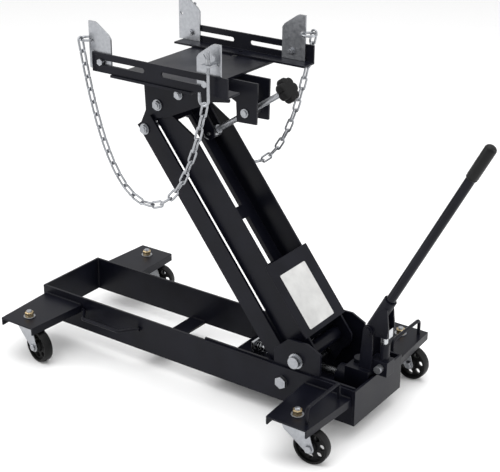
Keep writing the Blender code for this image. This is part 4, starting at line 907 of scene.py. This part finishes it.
# %% Forks and nuts
for corner in CORNERS:
    stem = Vector(joints[f"swivel_{corner}"]["pos_m"])
    axle_point = Vector(joints[f"wheel_{corner}_spin"]["pos_m"])
    trail = Vector((axle_point.x - stem.x, axle_point.y - stem.y, 0.0))
    turn = Matrix.Rotation(math.atan2(trail.y, trail.x), 4, "Z")
    place = Matrix.Translation((stem.x, stem.y, 0.0)) @ turn
    wing_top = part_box(f"caster_fork_{corner}")[1][2] - STEM_ABOVE
    crown = wing_top - WING_SHEET - RACE_ROOM
    body = f"caster_{corner}"
    fork = fork_mesh(crown, (trail.length, axle_point.z), wing_top, place)
    piece(f"fork_{corner}_pressing", fork, body, "zinc", [f"caster_fork_{corner}"])
    nut = [(0.0062, 0.0), (0.0097, 0.0), (NUT_RADIUS, 0.0010)]
    nut += [(NUT_RADIUS, 0.0084), (0.0093, 0.0099), (0.0062, 0.0099)]
    nut = lathe(nut, Matrix.Translation((stem.x, stem.y, wing_top + 0.0023)), 6)
    piece(f"fork_{corner}_nut", nut, body, "yellow_zinc", smooth=False)
    print("fork", corner, "trails", round(trail.length, 4))

# %% [markdown]
# ## Pivot sleeve
# The arm turns on the main shaft through a welded tube that reaches from one of its cheeks to the
# other.

# %% Sleeve
SHAFT_RADIUS, SLEEVE_RADIUS, SLEEVE_HALF = 0.0124, 0.0165, 0.0605
sleeve_place = frame_along(Vector(joints["lift"]["pos_m"]), (0, 1, 0))
sleeve = [(SHAFT_RADIUS, -SLEEVE_HALF), (SLEEVE_RADIUS, -SLEEVE_HALF)]
sleeve += [(SLEEVE_RADIUS, SLEEVE_HALF), (SHAFT_RADIUS, SLEEVE_HALF)]
piece("pivot_sleeve", lathe(sleeve, sleeve_place, 56), "arm", "black_enamel")
print("sleeve", 2 * SLEEVE_HALF, "long")

# %% [markdown]
# ## Blank label
# The arm's cover plate carries a rectangular sticker. It is left blank: a thin sheet with rounded
# corners.

# %% Label
lift = joints["lift"]
rest_angle = -math.radians(lift["range_deg"][0])
pivot_point = Vector(lift["pos_m"])
up_arm = Vector((-math.cos(rest_angle), 0.0, math.sin(rest_angle)))
off_arm = Vector((math.sin(rest_angle), 0.0, math.cos(rest_angle)))
LABEL_LENGTH, LABEL_WIDTH, LABEL_CORNER, LABEL_THICKNESS = 0.127, 0.093, 0.003, 0.0004
LABEL_UP_ARM, LABEL_OFF_ARM, LABEL_ASIDE = 0.1045, 0.0416, -0.005
CORNER_STEPS = 5
label_outline = []
for sx, sy, first in ((1, 1, 0), (-1, 1, 90), (-1, -1, 180), (1, -1, 270)):
    for i in range(CORNER_STEPS + 1):
        t = math.radians(first + 90 * i / CORNER_STEPS)
        u = sx * (LABEL_LENGTH / 2 - LABEL_CORNER) + LABEL_CORNER * math.cos(t)
        v = sy * (LABEL_WIDTH / 2 - LABEL_CORNER) + LABEL_CORNER * math.sin(t)
        label_outline.append((u, v))
turned = Matrix((up_arm, Vector((0, -1, 0)), off_arm)).transposed().to_4x4()
label_centre = pivot_point + up_arm * LABEL_UP_ARM + off_arm * LABEL_OFF_ARM
label_centre += Vector((0, LABEL_ASIDE, 0))
label = plate(label_outline, LABEL_THICKNESS, Matrix.Translation(label_centre) @ turned)
piece("cover_blank_label", label, "arm", "label_paper", smooth=False)
print("label", LABEL_LENGTH, "by", LABEL_WIDTH)

# %% [markdown]
# ## Weld beads
# The frame's plates are welded where they meet. A bead is a row of small overlapping ripples, flattened
# into the corner, and painted over with the rest.


# %% Beads
RIPPLE_SIZE, RIPPLE_PITCH, RIPPLE_TURN = 0.0026, 0.0024, 0.4


def ripple_mesh():
    """One ripple of weld: a flattened ball."""
    bm = bmesh.new()
    bmesh.ops.create_icosphere(bm, subdivisions=2, radius=RIPPLE_SIZE)
    bmesh.ops.scale(bm, vec=(1.0, 1.0, 0.75), verts=bm.verts)
    mesh = bpy.data.meshes.new("ripple")
    bm.to_mesh(mesh)
    bm.free()
    mesh.shade_smooth()
    return mesh


def bead(name, start, end):
    """A straight run of weld on the frame."""
    count = max(3, int((Vector(end) - Vector(start)).length / RIPPLE_PITCH))
    mesh = repeat([start, end], ripple_mesh(), count, RIPPLE_TURN, "weld_bead")
    piece(name, mesh, "frame", "weld_bead")


# How far a bead stops short of a corner, and how far inside the rail's outer face it runs.
BEAD_MARGIN = 0.004
PLATE_INSET, BAR_INSET = 0.0052, 0.0054
frame_low, frame_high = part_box("side_rail_left")[0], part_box("side_rail_right")[1]
rail_top, rail_side = frame_high[2], frame_high[1]
for corner in CORNERS:
    low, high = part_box(f"wing_{corner}")
    sign = -1 if corner.endswith("left") else 1
    wing_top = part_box(f"caster_fork_{corner}")[1][2] - STEM_ABOVE
    seam = sign * (rail_side + 0.0006)
    start = (low[0] + BEAD_MARGIN, seam, wing_top)
    bead(f"weld_wing_{corner}", start, (high[0] - BEAD_MARGIN, seam, wing_top))
plate_inner = {"front": frame_low[0] + 0.0002, "rear": frame_high[0] - 0.0002}
for end, x in plate_inner.items():
    for sign, side in ((-1, "left"), (1, "right")):
        y = sign * (rail_side - PLATE_INSET)
        start = (x, y, frame_low[2] + 2 * BEAD_MARGIN)
        bead(f"weld_{end}_plate_{side}", start, (x, y, rail_top - BEAD_MARGIN))
bar_low, bar_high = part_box("cross_bar")
for sign, side in ((-1, "left"), (1, "right")):
    y = sign * (rail_side - BAR_INSET)
    start = (bar_low[0] + 0.003, y, bar_high[2])
    bead(f"weld_cross_bar_{side}", start, (bar_high[0] - 0.003, y, bar_high[2]))
print("weld beads laid")

# %% [markdown]
# ## Floor, lights and camera
# The jack stands on a pale floor under large soft lights. Black enamel shows only what it reflects, so
# a broad panel above and a tall one at each side draw the edges of the plates.


# %% Floor and surroundings
FLOOR_HALF = 12.0
WORLD_STRENGTH = 0.85


def paint_floor():
    """A matt, nearly white floor."""
    material = bpy.data.materials.new("studio_floor")
    material.use_nodes = True
    shader = material.node_tree.nodes["Principled BSDF"]
    shader.inputs["Base Color"].default_value = (0.92, 0.92, 0.92, 1.0)
    shader.inputs["Roughness"].default_value = 0.75
    return material


floor_mesh = bpy.data.meshes.new("floor")
bm = bmesh.new()
bmesh.ops.create_grid(bm, x_segments=1, y_segments=1, size=FLOOR_HALF)
bm.to_mesh(floor_mesh)
bm.free()
floor_mesh.materials.append(paint_floor())
floor = bpy.data.objects.new("studio_floor", floor_mesh)
bpy.context.scene.collection.objects.link(floor)

world = bpy.data.worlds.new("studio")
world.use_nodes = True
sky = world.node_tree.nodes["Background"]
sky.inputs["Color"].default_value = (1.0, 1.0, 1.0, 1.0)
sky.inputs["Strength"].default_value = WORLD_STRENGTH
bpy.context.scene.world = world
bpy.context.scene.view_settings.view_transform = "Standard"


# %% Lights
def softbox(name, place, target, size, power):
    """A soft rectangular light that faces its target."""
    lamp = bpy.data.lights.new(name, "AREA")
    lamp.shape = "RECTANGLE"
    lamp.size, lamp.size_y = size
    lamp.energy = power
    obj = bpy.data.objects.new(name, lamp)
    bpy.context.scene.collection.objects.link(obj)
    obj.location = place
    obj.rotation_euler = (Vector(target) - Vector(place)).to_track_quat("-Z", "Y").to_euler()


softbox("overhead", (0.2, -0.2, 3.4), (0.0, 0.0, 0.2), (4.2, 3.6), 95.0)
softbox("left_panel", (-2.4, -2.0, 1.5), (0.0, 0.0, 0.4), (1.2, 2.0), 26.0)
softbox("right_panel", (2.8, 0.8, 1.4), (0.1, 0.0, 0.4), (1.0, 1.8), 22.0)

# %% Camera
CAMERA_PLACE = Vector((1.38937, -2.0069, 1.3989))
CAMERA_HEADING = math.radians(124.84)
CAMERA_DIP = math.radians(23.42)
CAMERA_ROLL = 0.007
CAMERA_SENSOR, CAMERA_LENS = 36.0, 90.48
look = Vector(
    (
        math.cos(CAMERA_DIP) * math.cos(CAMERA_HEADING),
        math.cos(CAMERA_DIP) * math.sin(CAMERA_HEADING),
        -math.sin(CAMERA_DIP),
    )
)
camera_data = bpy.data.cameras.new("camera")
camera_data.sensor_width = CAMERA_SENSOR
camera_data.lens = CAMERA_LENS
camera = bpy.data.objects.new("camera", camera_data)
bpy.context.scene.collection.objects.link(camera)
facing = look.to_track_quat("-Z", "Y").to_matrix() @ Matrix.Rotation(CAMERA_ROLL, 3, "Z")
camera.matrix_world = Matrix.Translation(CAMERA_PLACE) @ facing.to_4x4()
bpy.context.scene.camera = camera
print("camera at", [round(value, 3) for value in CAMERA_PLACE])
